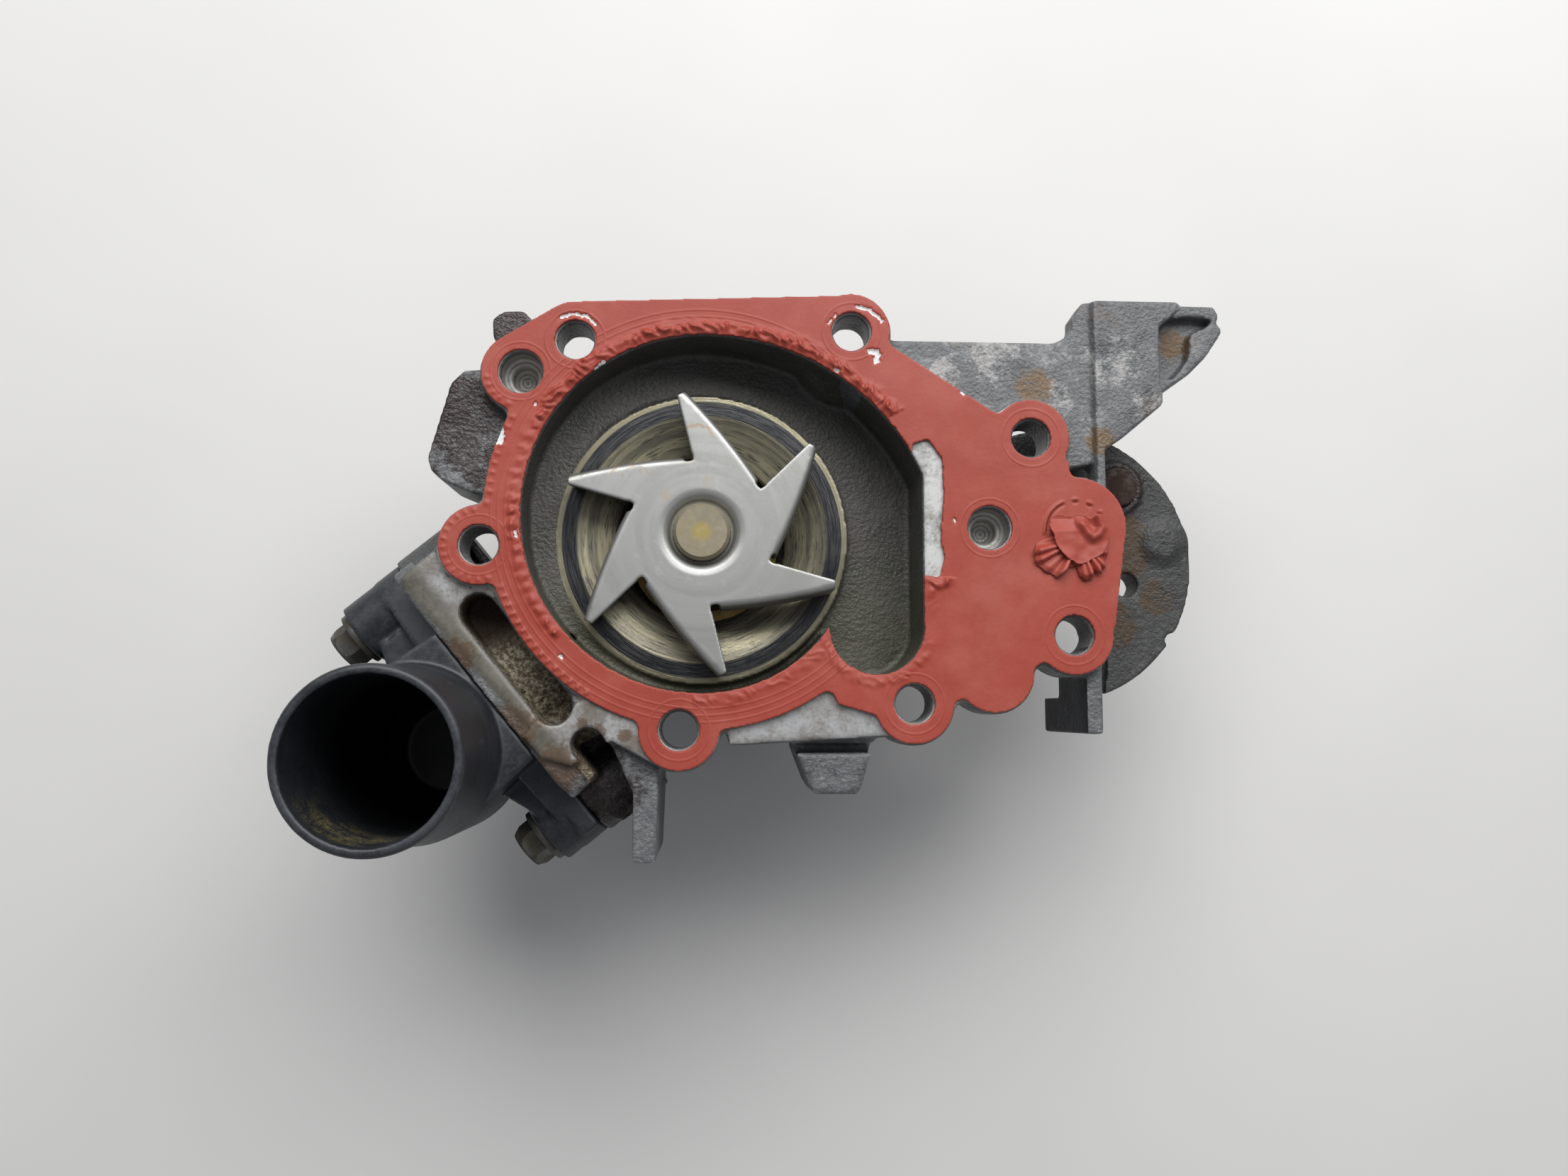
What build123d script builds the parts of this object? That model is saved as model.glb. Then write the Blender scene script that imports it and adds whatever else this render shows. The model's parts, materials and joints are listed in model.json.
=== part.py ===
from build123d import *
from math import acos, cos, sin, radians, pi
import os

# Automotive water pump, millimetres. The origin is on the shaft axis at the gasket's engine face.
# +Z points out of that face to the engine, +X to the long end of the flange, +Y up across it.

# ---- driving dimensions: mating face ----
GASKET_THICK = 0.8
FLANGE_FACE = -GASKET_THICK
FLANGE_THICK = 9.2
FLANGE_BACK = FLANGE_FACE - FLANGE_THICK
BOLT_HOLE_R = 3.5
DOWEL_R = 4.0
DOWEL_DEPTH = 5.0
BOSS_R = 7.6
WALL_CENTRE_Y = 3.4
WALL_OUTER_R = 41.3
INNER_CORNER_R = 1.6

# ---- driving dimensions: pump chamber and impeller ----
CHAMBER_FLOOR = -10.4
WEAR_RING_FACE = -11.0
WEAR_RING_R = 28.7
DISH_FOOT = -13.4
OUTLET_FLOOR = -17.0
SHELL_WALL = 3.6
VOLUTE_SKIN = 1.2
EYE_R = 16.5
IMPELLER_TOP = -2.5
SHEET = 1.5
BLADE_FOOT = -10.4
BLADE_COUNT = 6
FOLD_R = 1.3
NOTCH_R = 0.95
NOTCH_ANGLE = 40.6

# ---- driving dimensions: suction gallery and elbow ----
GALLERY_TOP = -14.6
GALLERY_BOTTOM = -29.5
GALLERY_WALL = 4.0
PORT_ANGLE = 219.3
PORT_FACE = 51.0
PORT_SHIFT = -1.5
PORT_Z = -22.0
PORT_R = 11.5
ELBOW_BOLT_HALF = 27.3
UPPER_EAR_TOP = 14.1
LOWER_EAR_TOP = 9.9
SPIGOT_REACH = 17.6
SPIGOT_R = 16.0
SPIGOT_BORE_R = 14.2
SPIGOT_TOP = 25.0
ELBOW_FLAT = -2.6

# ---- driving dimensions: shaft, bearing, seal and pulley ----
SHAFT_END = -1.5
SHAFT_NOSE_R = 5.5
SHAFT_SEAL_R = 6.0
SHAFT_R = 8.0
SHAFT_TAIL_R = 7.5
SEAL_WALL_BACK = -34.0
BEARING_TOP = -37.0
BEARING_BOTTOM = -62.0
BEARING_R = 15.0
BEARING_BORE_R = 12.3
BALL_R = 2.38
BALL_PITCH_R = 10.12
BALL_COUNT = 9
BALL_ROWS = {"front": -44.0, "rear": -55.0}
BOSS_OUTER_R = 19.0
PULLEY_TOP = -48.0
PULLEY_BOTTOM = -72.0
PULLEY_TEETH = 20
PULLEY_PITCH = 9.525
PULLEY_R = PULLEY_TEETH * PULLEY_PITCH / (2 * pi) - 0.69
RUN_GAP = 0.1

# ---- hole positions on the mating face ----
BOLT_HOLES = {
    "upper_left": (-24.5, 36.9),
    "upper_right": (28.9, 39.4),
    "left": (-41.9, -3.1),
    "right_upper": (63.9, 18.7),
    "right_lower": (71.6, -19.8),
    "lower_right": (40.5, -32.9),
    "lower_left": (-4.0, -37.8),
}
DOWELS = {"left": (-34.8, 30.5), "right": (55.5, 0.9)}
ROUND_LOBE = (72.6, 1.3)
ROUND_LOBE_R = 9.7
LOW_LOBE = (56.0, -27.0)
PAD_CENTRE = (75.3, -3.0)
PAD_R = 29.5
PAD_TOP = -25.0
PAD_BOTTOM = -33.0
PEG_SPOT = (88.6, 13.5)
PEG_R = 4.2


def prism(face, low, high):
    """A flat outline raised between two heights."""
    return Pos(0, 0, low) * extrude(face, high - low)


def rod(x, y, radius, low, high):
    return prism(Pos(x, y) * Circle(radius), low, high)


def patch(*points, radius=0.0):
    """A closed outline with every corner rounded by the same radius."""
    if radius == 0.0:
        return make_face(Polyline(*points, close=True))
    return make_face(FilletPolyline(*points, radius=radius, close=True))


def ring(outer, inner, low, high):
    return rod(0, 0, outer, low, high) - rod(0, 0, inner, low, high)


def turned(*profile):
    """A solid of revolution about the shaft axis from (radius, height) points."""
    outline = make_face(Polyline(*[(r, 0, z) for r, z in profile], close=True))
    return revolve(outline, Axis.Z)


def strip(start, end, start_r, end_r):
    """The outline of a belt round two discs."""
    rims = (Pos(*start) * Circle(start_r)).edges() + (Pos(*end) * Circle(end_r)).edges()
    return make_hull(rims)


PORT_N = (cos(radians(PORT_ANGLE)), sin(radians(PORT_ANGLE)))
PORT_T = (-PORT_N[1], PORT_N[0])


def port_xy(along, out):
    """A point beside the port: along its face, and out from the shaft axis."""
    return (
        PORT_N[0] * out + PORT_T[0] * along,
        PORT_N[1] * out + PORT_T[1] * along,
    )


PORT_PLANE = Plane(
    origin=(*port_xy(PORT_SHIFT, PORT_FACE), PORT_Z),
    x_dir=(*PORT_T, 0),
    z_dir=(*PORT_N, 0),
)


# ---- outlines of the mating face ----
def flange_outline(grow=0.0):
    """Round wall, bolt bosses and the long right-hand end of the mating face."""
    bosses = [(spot, BOSS_R) for spot in BOLT_HOLES.values()]
    bosses += [(DOWELS["left"], BOSS_R), (LOW_LOBE, BOSS_R), (ROUND_LOBE, ROUND_LOBE_R)]
    face = Pos(0, WALL_CENTRE_Y) * Circle(WALL_OUTER_R + grow)
    for spot, radius in bosses:
        face += Pos(*spot) * Circle(radius + grow)
    face += strip(DOWELS["left"], BOLT_HOLES["upper_left"], BOSS_R + grow, BOSS_R + grow)
    face += strip(BOLT_HOLES["upper_left"], BOLT_HOLES["upper_right"], BOSS_R + grow, 7.3 + grow)
    face += patch((20, 38), (37, 36.5 + grow), (54.5, 25.2 + grow), (64, 19), (72.5, 1.3),
                  (71.6, -19.8), (64.2, -25.7 - grow), (56, -27), (49.5, -32 - grow), (40.5, -33),
                  (33, -35 - grow), (26, -33 - grow), (10, 0))
    face += patch((63.9, 19), (71.3, 13.8 + grow), (72.6, 1.3))
    face += patch((82.1 + grow, 0), (79.6 + grow, -18), (71.6, -19.8), (72.6, 1.3))
    return offset(offset(face, INNER_CORNER_R), -INNER_CORNER_R)


def chamber_outline():
    """The volute: a snail wall that opens to a slot, and a tongue between slot and wall."""
    outline = [
        ThreePointArc((0, -30.9), (-24.25, -20.85), (-34.3, 3.4)),
        ThreePointArc((-34.3, 3.4), (-24.05, 28.15), (0.7, 38.4)),
        ThreePointArc((0.7, 38.4), (25.6, 31.07), (42.6, 11.4)),
        Line((42.6, 11.4), (42.6, -18.3)),
        ThreePointArc((42.6, -18.3), (33.5, -27.4), (24.4, -18.3)),
        ThreePointArc((24.4, -18.3), (13.2, -27.9), (0, -30.9)),
    ]
    return make_face(outline)


# ---- housing ----
def above_slope(low_left, low_right):
    """Everything over a floor that falls from the volute's left side to the outlet."""
    left, right, top = -60.0, 90.0, 5.0
    slope = (low_right - low_left) / 76.0
    wedge = make_face(Polyline(
        (left, -80, low_left + slope * (left + 34)), (right, -80, low_left + slope * (right + 34)),
        (right, -80, top), (left, -80, top), close=True))
    return extrude(wedge, amount=160, dir=(0, 1, 0))


def volute_shell():
    walls = offset(chamber_outline(), SHELL_WALL)
    block = prism(walls, OUTLET_FLOOR - SHELL_WALL, FLANGE_FACE)
    return block & above_slope(CHAMBER_FLOOR - SHELL_WALL, OUTLET_FLOOR - SHELL_WALL)


def volute_hollow():
    channel = prism(chamber_outline(), OUTLET_FLOOR - 1, FLANGE_FACE + 1)
    channel = channel & above_slope(CHAMBER_FLOOR, OUTLET_FLOOR)
    channel -= rod(0, 0, WEAR_RING_R + 0.5, OUTLET_FLOOR - 2, WEAR_RING_FACE)
    dish = turned((0, CHAMBER_FLOOR + 1), (WEAR_RING_R, CHAMBER_FLOOR + 1), (WEAR_RING_R, WEAR_RING_FACE),
                  (24.8, WEAR_RING_FACE), (EYE_R, DISH_FOOT), (0, DISH_FOOT))
    bulge = Pos(*BOLT_HOLES["upper_right"]) * turned(
        (0, OUTLET_FLOOR), (11.2, OUTLET_FLOOR), (10.6, CHAMBER_FLOOR), (7.6, -3), (0, -3))
    return channel + dish - bulge


def gallery_core():
    """The suction passage: a flat oval from the port to the impeller's eye."""
    mouth = Pos(*port_xy(PORT_SHIFT, 36)) * Circle(PORT_R)
    flat = make_hull((Circle(EYE_R + 1)).edges() + mouth.edges())
    core = prism(flat, GALLERY_BOTTOM, GALLERY_TOP)
    core += PORT_PLANE * Pos(0, 0, -8) * Cylinder(PORT_R, 22)
    return core + rod(0, 0, EYE_R, GALLERY_TOP - 1, WEAR_RING_FACE + 1)


def gallery_shell():
    wide = EYE_R + 1 + GALLERY_WALL
    mouth = Pos(*port_xy(PORT_SHIFT, PORT_FACE - 16)) * Circle(PORT_R + GALLERY_WALL)
    flat = make_hull((Circle(wide)).edges() + mouth.edges())
    shell = prism(flat, SEAL_WALL_BACK, CHAMBER_FLOOR - 1)
    neck = PORT_PLANE * Pos(0, 0, -12) * Cylinder(PORT_R + GALLERY_WALL, 24)
    return shell + neck


def port_pad():
    """The wall that the elbow bolts to, with its two threaded bosses."""
    pad = PORT_PLANE * Pos(-2.6, 2, -2.2) * Box(53.8, 36, 4.4)
    pad = fillet(pad.edges().filter_by(Axis((0, 0, 0), (*PORT_N, 0))), 5)
    for side in (-1, 1):
        pad += PORT_PLANE * Pos(side * ELBOW_BOLT_HALF, 0, -7.5) * Cylinder(BOSS_R, 15)
    return pad


def port_saddle():
    """The table beside the port pad, with its slot, its machined bridge and the recess below it."""
    floor = patch((-38, -4), (-48.5, -4), (-56, -10), port_xy(24, 49), (-24, -41), (-14, -36),
                  (-30, -18))
    table = patch((-38, -3), (-49.6, -3), (-57, -9.4), port_xy(13, 48), port_xy(13, 36), (-20, -20))
    slot = strip(port_xy(-14.4, 42.4), port_xy(8.4, 42.4), 3.5, 3.5)
    band = patch(port_xy(8, 44.6), port_xy(8, 50.5), port_xy(24.2, 50.5), port_xy(23.6, 44.6))
    bridge = patch((-16, -31), (-23.4, -33), (-26.5, -36.6), (-30.4, -35.8), (-33, -39), (-29.5, -43),
                   (-24, -44.5), (-20, -42), (-16.6, -39.9), (-9.3, -43.9), (-5, -40), (-8, -33))
    bridge -= strip((-21, -40.5), (-16.4, -47), 3.1, 2.8)
    basin = patch((-28, -36), (-12, -36), (-8, -44), (-10, -52), (-15.5, -56), (-18.5, -55), (-24, -50))
    saddle = prism(floor, -13.5, -9) + prism(table, -13.5, -1.6) + prism(band, -24, -2.2)
    saddle += prism(bridge, -12, FLANGE_FACE) + prism(basin, -32, -17.5)
    return saddle - prism(slot, -10.5, 0)


def bearing_boss():
    boss = turned((0, -30), (30, -30), (22.5, SEAL_WALL_BACK), (BOSS_OUTER_R + 0.6, -38),
                  (BOSS_OUTER_R, -60.5), (BOSS_OUTER_R - 1.5, -62), (0, -62))
    return boss


def back_ribs():
    """Ribs from the bearing boss out to the bolt bosses."""
    ribs = None
    for angle, reach in ((20, 52), (62, 40), (118, 41), (165, 37), (298, 43), (335, 50)):
        blade = make_face(Polyline(
            (15, 0, -43), (21, 0, -43), (reach, 0, FLANGE_BACK - 5), (reach, 0, -8), (15, 0, -8),
            close=True))
        rib = Rot(0, 0, angle) * Pos(0, 1.6, 0) * extrude(blade, amount=3.2, dir=(0, -1, 0))
        ribs = rib if ribs is None else ribs + rib
    return ribs


def corner_plate():
    """The lower plate that fills the corner between two bolt bosses and the block."""
    plate = make_face([
        Polyline((73.9, 42.3), (73.9, 44.4), (76.2, 47.7), (79, 47.7), (79, 15), (66, 12), (45, 24),
                 (26, 34), (34, 39.2), (67.5, 39.2)),
        ThreePointArc((67.5, 39.2), (71.8, 40.0), (73.9, 42.3)),
    ])
    return prism(plate, -9.6, -4.4)


def corner_block():
    """The raised bracket at the upper right, stepped down to a shelf with a pocket."""
    block = patch((77.7, 47.8), (95.1, 47.8), (96.3, 46.6), (91.5, 42.7), (91.0, 36.7), (91.6, 29.1),
                  (91.6, 26.6), (83.3, 19.7), (79.7, 17.4), (77.7, 17.4), radius=0.5)
    shelf = patch((86, 48.2), (98.3, 48.7), (104.7, 48.5), (105.7, 47.2), (105.4, 45.0), (106.5, 43.5),
                  (105.4, 41.7), (102.7, 37.8), (99.2, 34.3), (93.5, 30.5), (86, 26), radius=0.3)
    pocket = patch((90, 45.4), (99.4, 46.2), (104.6, 45.9), (103.4, 44.4), (99.6, 42.6), (98.9, 37.2),
                   (95.6, 33.0), (90, 34), radius=0.4)
    shelf = prism(shelf, -22, -8) - prism(pocket, -10.6, -7)
    return prism(block, -18, -3) + shelf


def right_pad():
    """The round pad that sits deep behind the long end, with its round tower and walls."""
    pad = Pos(*PAD_CENTRE) * Circle(PAD_R) - patch((40, -60), (40, -34), (62, -34), (66, 40), (40, 40),
                                                   (20, 40), (20, -60))
    pad -= patch((99.4, -17.8), (98.6, -19.6), (101.4, -21.2), (112, -22), (112, -16), radius=0.6)
    pad -= patch((60, -11), (85.8, -11), (85.8, -24), (84.5, -40), (60, -40))
    pad = prism(pad, PAD_BOTTOM, PAD_TOP)
    pad += Pos(98.6, 1.8) * turned((0, PAD_BOTTOM), (6.4, PAD_BOTTOM), (6.4, PAD_TOP - 0.6),
                                   (3.0, PAD_TOP + 1.2), (0, PAD_TOP + 1.2))
    pad += rod(*PEG_SPOT, PEG_R + 1.6, PAD_BOTTOM, PAD_TOP + 1.2)
    pad += rod(*ROUND_LOBE, ROUND_LOBE_R, PAD_BOTTOM, FLANGE_BACK + 1)
    web = patch((77.7, 18), (79.5, 18), (79.5, -10), (77.7, -10))
    return pad + prism(web, PAD_BOTTOM, -3)


def right_hook():
    """The deep thin wall below the long end, with its upper corner cut away at the back."""
    wall = patch((74.4, -24), (77.8, -24), (77.8, -38.7), (74.4, -38.7), radius=0.5)
    cut_away = Pos(76, -24, PAD_BOTTOM) * Box(10, 15, 22)
    return prism(wall, PAD_BOTTOM, -3) - cut_away


def bottom_lug():
    """The stub below the mating face, with a groove between the two."""
    face = patch((4, -35), (5.5, -40.8), (35.5, -39.2), (33, -33), (22, -30))
    lug = patch((18, -38), (18, -41.5), (20.5, -48), (21.8, -50), (30, -50), (31, -48), (33.2, -40),
                (33, -36))
    groove = Pos(25.5, -41.3, -2) * Box(20, 1.8, 12)
    return prism(face, FLANGE_BACK, FLANGE_FACE - 0.3) + prism(lug, -24, -3.6) - groove


def lower_fin():
    fin = patch((-17.1, -39.9), (-14, -38.5), (-7.8, -43.6), (-7.7, -46.8), (-8.2, -62.6), (-12.6, -62.6),
                (-12.6, -49.7), radius=0.6)
    return prism(fin, -33, -3)


def left_lugs():
    lug = patch((-41.5, 38.8), (-41.9, 43), (-39.4, 44.8), (-35.9, 45), (-33, 42), (-34, 36),
                radius=0.9)
    block = patch((-38, 33), (-43.4, 32.5), (-46.9, 32), (-49.2, 29.6), (-51.6, 21), (-53.3, 14.6),
                  (-52.6, 12.2), (-50.5, 10.3), (-44.3, 7.7), (-38, 7), radius=1.1)
    return prism(lug, -16, -7) + prism(block, -24, -5.5)


def face_holes():
    holes = None
    for x, y in BOLT_HOLES.values():
        hole = rod(x, y, BOLT_HOLE_R, FLANGE_BACK - 12, 1)
        holes = hole if holes is None else holes + hole
    for x, y in DOWELS.values():
        holes += rod(x, y, DOWEL_R, FLANGE_FACE - DOWEL_DEPTH, 1)
        holes += rod(x, y, 2.4, FLANGE_FACE - DOWEL_DEPTH - 3, 1)
    return holes


def bolt_head_room():
    """Clear space behind each boss for a bolt head and its socket, outside the volute."""
    room = None
    for x, y in BOLT_HOLES.values():
        space = rod(x, y, BOSS_R, FLANGE_BACK - 12, FLANGE_BACK)
        room = space if room is None else room + space
    return room - prism(offset(chamber_outline(), VOLUTE_SKIN), FLANGE_BACK - 13, 0)


def pump_housing():
    body = prism(flange_outline(0.35), FLANGE_BACK, FLANGE_FACE)
    body += volute_shell() + gallery_shell() + port_saddle() + port_pad()
    body += corner_plate() + corner_block() + right_pad() + right_hook()
    body += bottom_lug() + lower_fin() + left_lugs()
    body += bearing_boss() + back_ribs()
    body -= volute_hollow() + gallery_core()
    body -= bolt_head_room() + face_holes()
    body -= rod(0, 0, 14.0, SEAL_WALL_BACK - 0.01, GALLERY_BOTTOM + 1)
    body -= rod(0, 0, 11.0, BEARING_TOP - 0.01, SEAL_WALL_BACK)
    body -= rod(0, 0, BEARING_R, -70, BEARING_TOP)
    for side in (-1, 1):
        body -= PORT_PLANE * Pos(side * ELBOW_BOLT_HALF, 0, -6) * Cylinder(3.0, 14)
    body -= Pos(0, -15, -35.5) * Rot(90, 0, 0) * Cylinder(1.6, 26)
    body -= rod(*PEG_SPOT, PEG_R, -40, 0)
    body -= rod(90.6, -7.3, 2.5, -40, 0)
    return body


# ---- pieces on the mating face ----
def gasket():
    sheet = flange_outline() - chamber_outline()
    for x, y in BOLT_HOLES.values():
        sheet -= Pos(x, y) * Circle(BOLT_HOLE_R + 0.4)
    for x, y in DOWELS.values():
        sheet -= Pos(x, y) * Circle(DOWEL_R + 0.3)
    sheet -= patch((40.6, 17.2), (43.8, 18.2), (46.4, 14.3), (46.6, 7.4), (45.9, -1.6), (46.6, -4.8),
                   (45.7, -8.8), (41, -8), radius=0.8)
    return prism(sheet, FLANGE_FACE, 0)


# ---- impeller ----
def blade_points():
    """Trailing tip, leading tip, and the notches on each side of one vane at the top."""
    return (-5.0, 26.9), (-3.4, 27.8), (-1.75, 14.2), (10.9, 10.4)


def impeller():
    trail, lead, notch, next_notch = blade_points()
    sag = 0.55
    edge = SagittaArc(lead, next_notch, sag)
    vane = make_face([edge, Line(next_notch, (0, 0)), Line((0, 0), notch), Line(notch, trail),
                      Line(trail, lead)])
    shift = (-0.78 * SHEET, -0.62 * SHEET)
    inner_lead = (lead[0] + shift[0] * 0.6, lead[1] + shift[1] * 0.6)
    inner_notch = (next_notch[0] + shift[0], next_notch[1] + shift[1])
    wall = make_face([edge, Line(next_notch, inner_notch), SagittaArc(inner_notch, inner_lead, -sag),
                      Line(inner_lead, lead)])
    blade = prism(vane, IMPELLER_TOP - SHEET, IMPELLER_TOP) + prism(wall, BLADE_FOOT, IMPELLER_TOP)
    fold = blade.edges().filter_by(GeomType.CIRCLE).filter_by_position(
        Axis.Z, IMPELLER_TOP - 0.01, IMPELLER_TOP + 0.01)
    blade = fillet(fold, FOLD_R)
    wheel = turned((SHAFT_NOSE_R, -12.5), (SHAFT_NOSE_R + SHEET, -12.5), (SHAFT_NOSE_R + SHEET, -4.6),
                   (SHAFT_NOSE_R + SHEET + 0.6, IMPELLER_TOP - SHEET), (14.2, IMPELLER_TOP - SHEET),
                   (14.2, IMPELLER_TOP), (SHAFT_NOSE_R, IMPELLER_TOP))
    collar = turned((0, IMPELLER_TOP + 1), (SHAFT_NOSE_R + 2.9, IMPELLER_TOP + 1),
                    (SHAFT_NOSE_R + 2.9, IMPELLER_TOP), (SHAFT_NOSE_R + 1.9, IMPELLER_TOP - 0.2),
                    (SHAFT_NOSE_R + 1.1, IMPELLER_TOP - 0.7), (SHAFT_NOSE_R + 0.6, IMPELLER_TOP - 1.4),
                    (0, IMPELLER_TOP - 1.4))
    for turn in range(BLADE_COUNT):
        wheel += Rot(0, 0, turn * 360 / BLADE_COUNT) * blade
    for spot in PolarLocations(15.1, BLADE_COUNT, start_angle=NOTCH_ANGLE):
        wheel -= Pos(0, 0, IMPELLER_TOP) * spot * Cylinder(NOTCH_R, 4 * SHEET)
    return wheel - rod(0, 0, SHAFT_NOSE_R, -13, 0) - collar


# ---- rotating group ----
def ball_groove(height):
    return Pos(0, 0, height) * Torus(BALL_PITCH_R, BALL_R + RUN_GAP)


def shaft():
    body = turned((0, SHAFT_END), (SHAFT_NOSE_R - 0.6, SHAFT_END), (SHAFT_NOSE_R, SHAFT_END - 0.6),
                  (SHAFT_NOSE_R, -13), (SHAFT_SEAL_R, -13.5), (SHAFT_SEAL_R, BEARING_TOP + 0.5),
                  (SHAFT_R, BEARING_TOP - 0.6), (SHAFT_R, BEARING_BOTTOM + 0.5),
                  (SHAFT_TAIL_R, BEARING_BOTTOM), (SHAFT_TAIL_R, -70.6), (SHAFT_TAIL_R - 0.6, -71.2),
                  (0, -71.2))
    for height in BALL_ROWS.values():
        body -= ball_groove(height)
    return body


def bearing_outer_ring():
    body = ring(BEARING_R, BEARING_BORE_R, BEARING_BOTTOM, BEARING_TOP)
    for height in BALL_ROWS.values():
        body -= ball_groove(height)
    return body


def ball_row(height):
    spots = PolarLocations(BALL_PITCH_R, BALL_COUNT)
    return Compound(children=[Pos(0, 0, height) * spot * Sphere(BALL_R) for spot in spots])


def ball_cage(height, side):
    """A crown cage: a ring beside the balls with pockets that hold them."""
    low = height + (-3.2 if side < 0 else -1.2)
    body = ring(11.3, 9.0, low, low + 4.4)
    for spot in PolarLocations(BALL_PITCH_R, BALL_COUNT):
        body -= Pos(0, 0, height) * spot * Sphere(BALL_R + RUN_GAP)
    return body


def bearing_seal(top):
    outer = BEARING_BORE_R
    return turned((outer, top), (outer, top - 1.6), (SHAFT_R + 1.4, top - 1.6),
                  (SHAFT_R + RUN_GAP, top - 0.9), (SHAFT_R + RUN_GAP, top - 0.6),
                  (SHAFT_R + 1.4, top))


def shaft_slinger():
    return turned((SHAFT_SEAL_R, -35.0), (9.6, -35.0), (9.6, -35.6), (7.2, -36.3), (SHAFT_SEAL_R, -36.3))


# ---- mechanical seal ----
def seal_case():
    """A pressed cup with a flange that stops on the wall."""
    return turned((14.0, -33.6), (14.0, GALLERY_BOTTOM), (15.6, GALLERY_BOTTOM), (15.6, -28.5),
                  (13.2, -28.5), (13.2, -32.8), (8.4, -32.8), (8.4, -33.6))


def seal_bellows():
    """A rubber sleeve with two folds between the case and the carbon ring."""
    return turned((8.4, -32.8), (10.6, -32.8), (10.6, -30.6), (9.6, -29.6), (10.6, -28.4),
                  (9.6, -27.2), (10.6, -26.2), (10.6, -23.6), (9.8, -23.6), (9.8, -25.6),
                  (8.6, -27.2), (9.6, -28.4), (8.6, -29.6), (9.6, -31.2), (8.4, -31.8))


def seal_spring():
    coil = Helix(pitch=1.9, height=6.6, radius=11.6)
    wire = Plane(origin=coil @ 0, z_dir=coil % 0) * Circle(0.55)
    return Pos(0, 0, -32.1) * sweep(wire, path=coil, is_frenet=True)


def carbon_ring():
    return turned((7.4, -23.5), (9.7, -23.5), (9.7, -20.8), (8.9, -20.8), (8.9, -19.02), (7.4, -19.02))


def seal_seat():
    return ring(11.0, 7.6, -19.0, -16.2)


def seat_boot():
    return turned((SHAFT_SEAL_R, -14.9), (11.6, -14.9), (11.6, -17.8), (11.0, -17.8), (11.0, -16.2),
                  (7.6, -16.2), (7.6, -18.2), (SHAFT_SEAL_R, -18.2))


# ---- pulley ----
def drive_pulley():
    """Toothed rim, web and hub. The grooves are spaced by the belt pitch."""
    rim = ring(PULLEY_R, 23.5, PULLEY_BOTTOM, PULLEY_TOP)
    groove = patch((PULLEY_R + 1, -3.3), (PULLEY_R + 1, 3.3), (PULLEY_R - 2.7, 1.65),
                   (PULLEY_R - 2.7, -1.65))
    groove = prism(groove, PULLEY_BOTTOM - 1, PULLEY_TOP + 1)
    cuts = [Rot(0, 0, turn * 360 / PULLEY_TEETH) * groove for turn in range(PULLEY_TEETH)]
    rim -= Compound(children=cuts)
    web = turned((SHAFT_TAIL_R, -63), (12.5, -63), (13.5, -66.5), (24, -66.5), (24, -70.2),
                 (13.5, -70.2), (12.5, -71), (SHAFT_TAIL_R, -71))
    for spot in PolarLocations(18.2, 5):
        web -= spot * Pos(0, 0, -68) * Cylinder(2.6, 8)
    return rim + web


def pulley_flange():
    return turned((23.6, PULLEY_TOP), (32.2, PULLEY_TOP), (33.2, PULLEY_TOP + 0.5),
                  (32.9, PULLEY_TOP + 1.3), (31.8, PULLEY_TOP + 1.0), (23.6, PULLEY_TOP + 1.0))


# ---- inlet elbow and its fasteners ----
EARS = {"upper": (-1, UPPER_EAR_TOP), "lower": (1, LOWER_EAR_TOP)}


def eared_plate(middle_r, ear_r, half):
    """A round plate with an ear on each side, joined by straight tangents."""
    lean = acos((middle_r - ear_r) / half)
    knee = (middle_r * cos(lean), middle_r * sin(lean))
    shoulder = (half + ear_r * cos(lean), ear_r * sin(lean))
    tip = half + ear_r
    return make_face([
        ThreePointArc((knee[0], knee[1]), (0, middle_r), (-knee[0], knee[1])),
        Line((-knee[0], knee[1]), (-shoulder[0], shoulder[1])),
        ThreePointArc((-shoulder[0], shoulder[1]), (-tip, 0), (-shoulder[0], -shoulder[1])),
        Line((-shoulder[0], -shoulder[1]), (-knee[0], -knee[1])),
        ThreePointArc((-knee[0], -knee[1]), (0, -middle_r), (knee[0], -knee[1])),
        Line((knee[0], -knee[1]), (shoulder[0], -shoulder[1])),
        ThreePointArc((shoulder[0], -shoulder[1]), (tip, 0), (shoulder[0], shoulder[1])),
        Line((shoulder[0], shoulder[1]), (knee[0], knee[1])),
    ])


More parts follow.
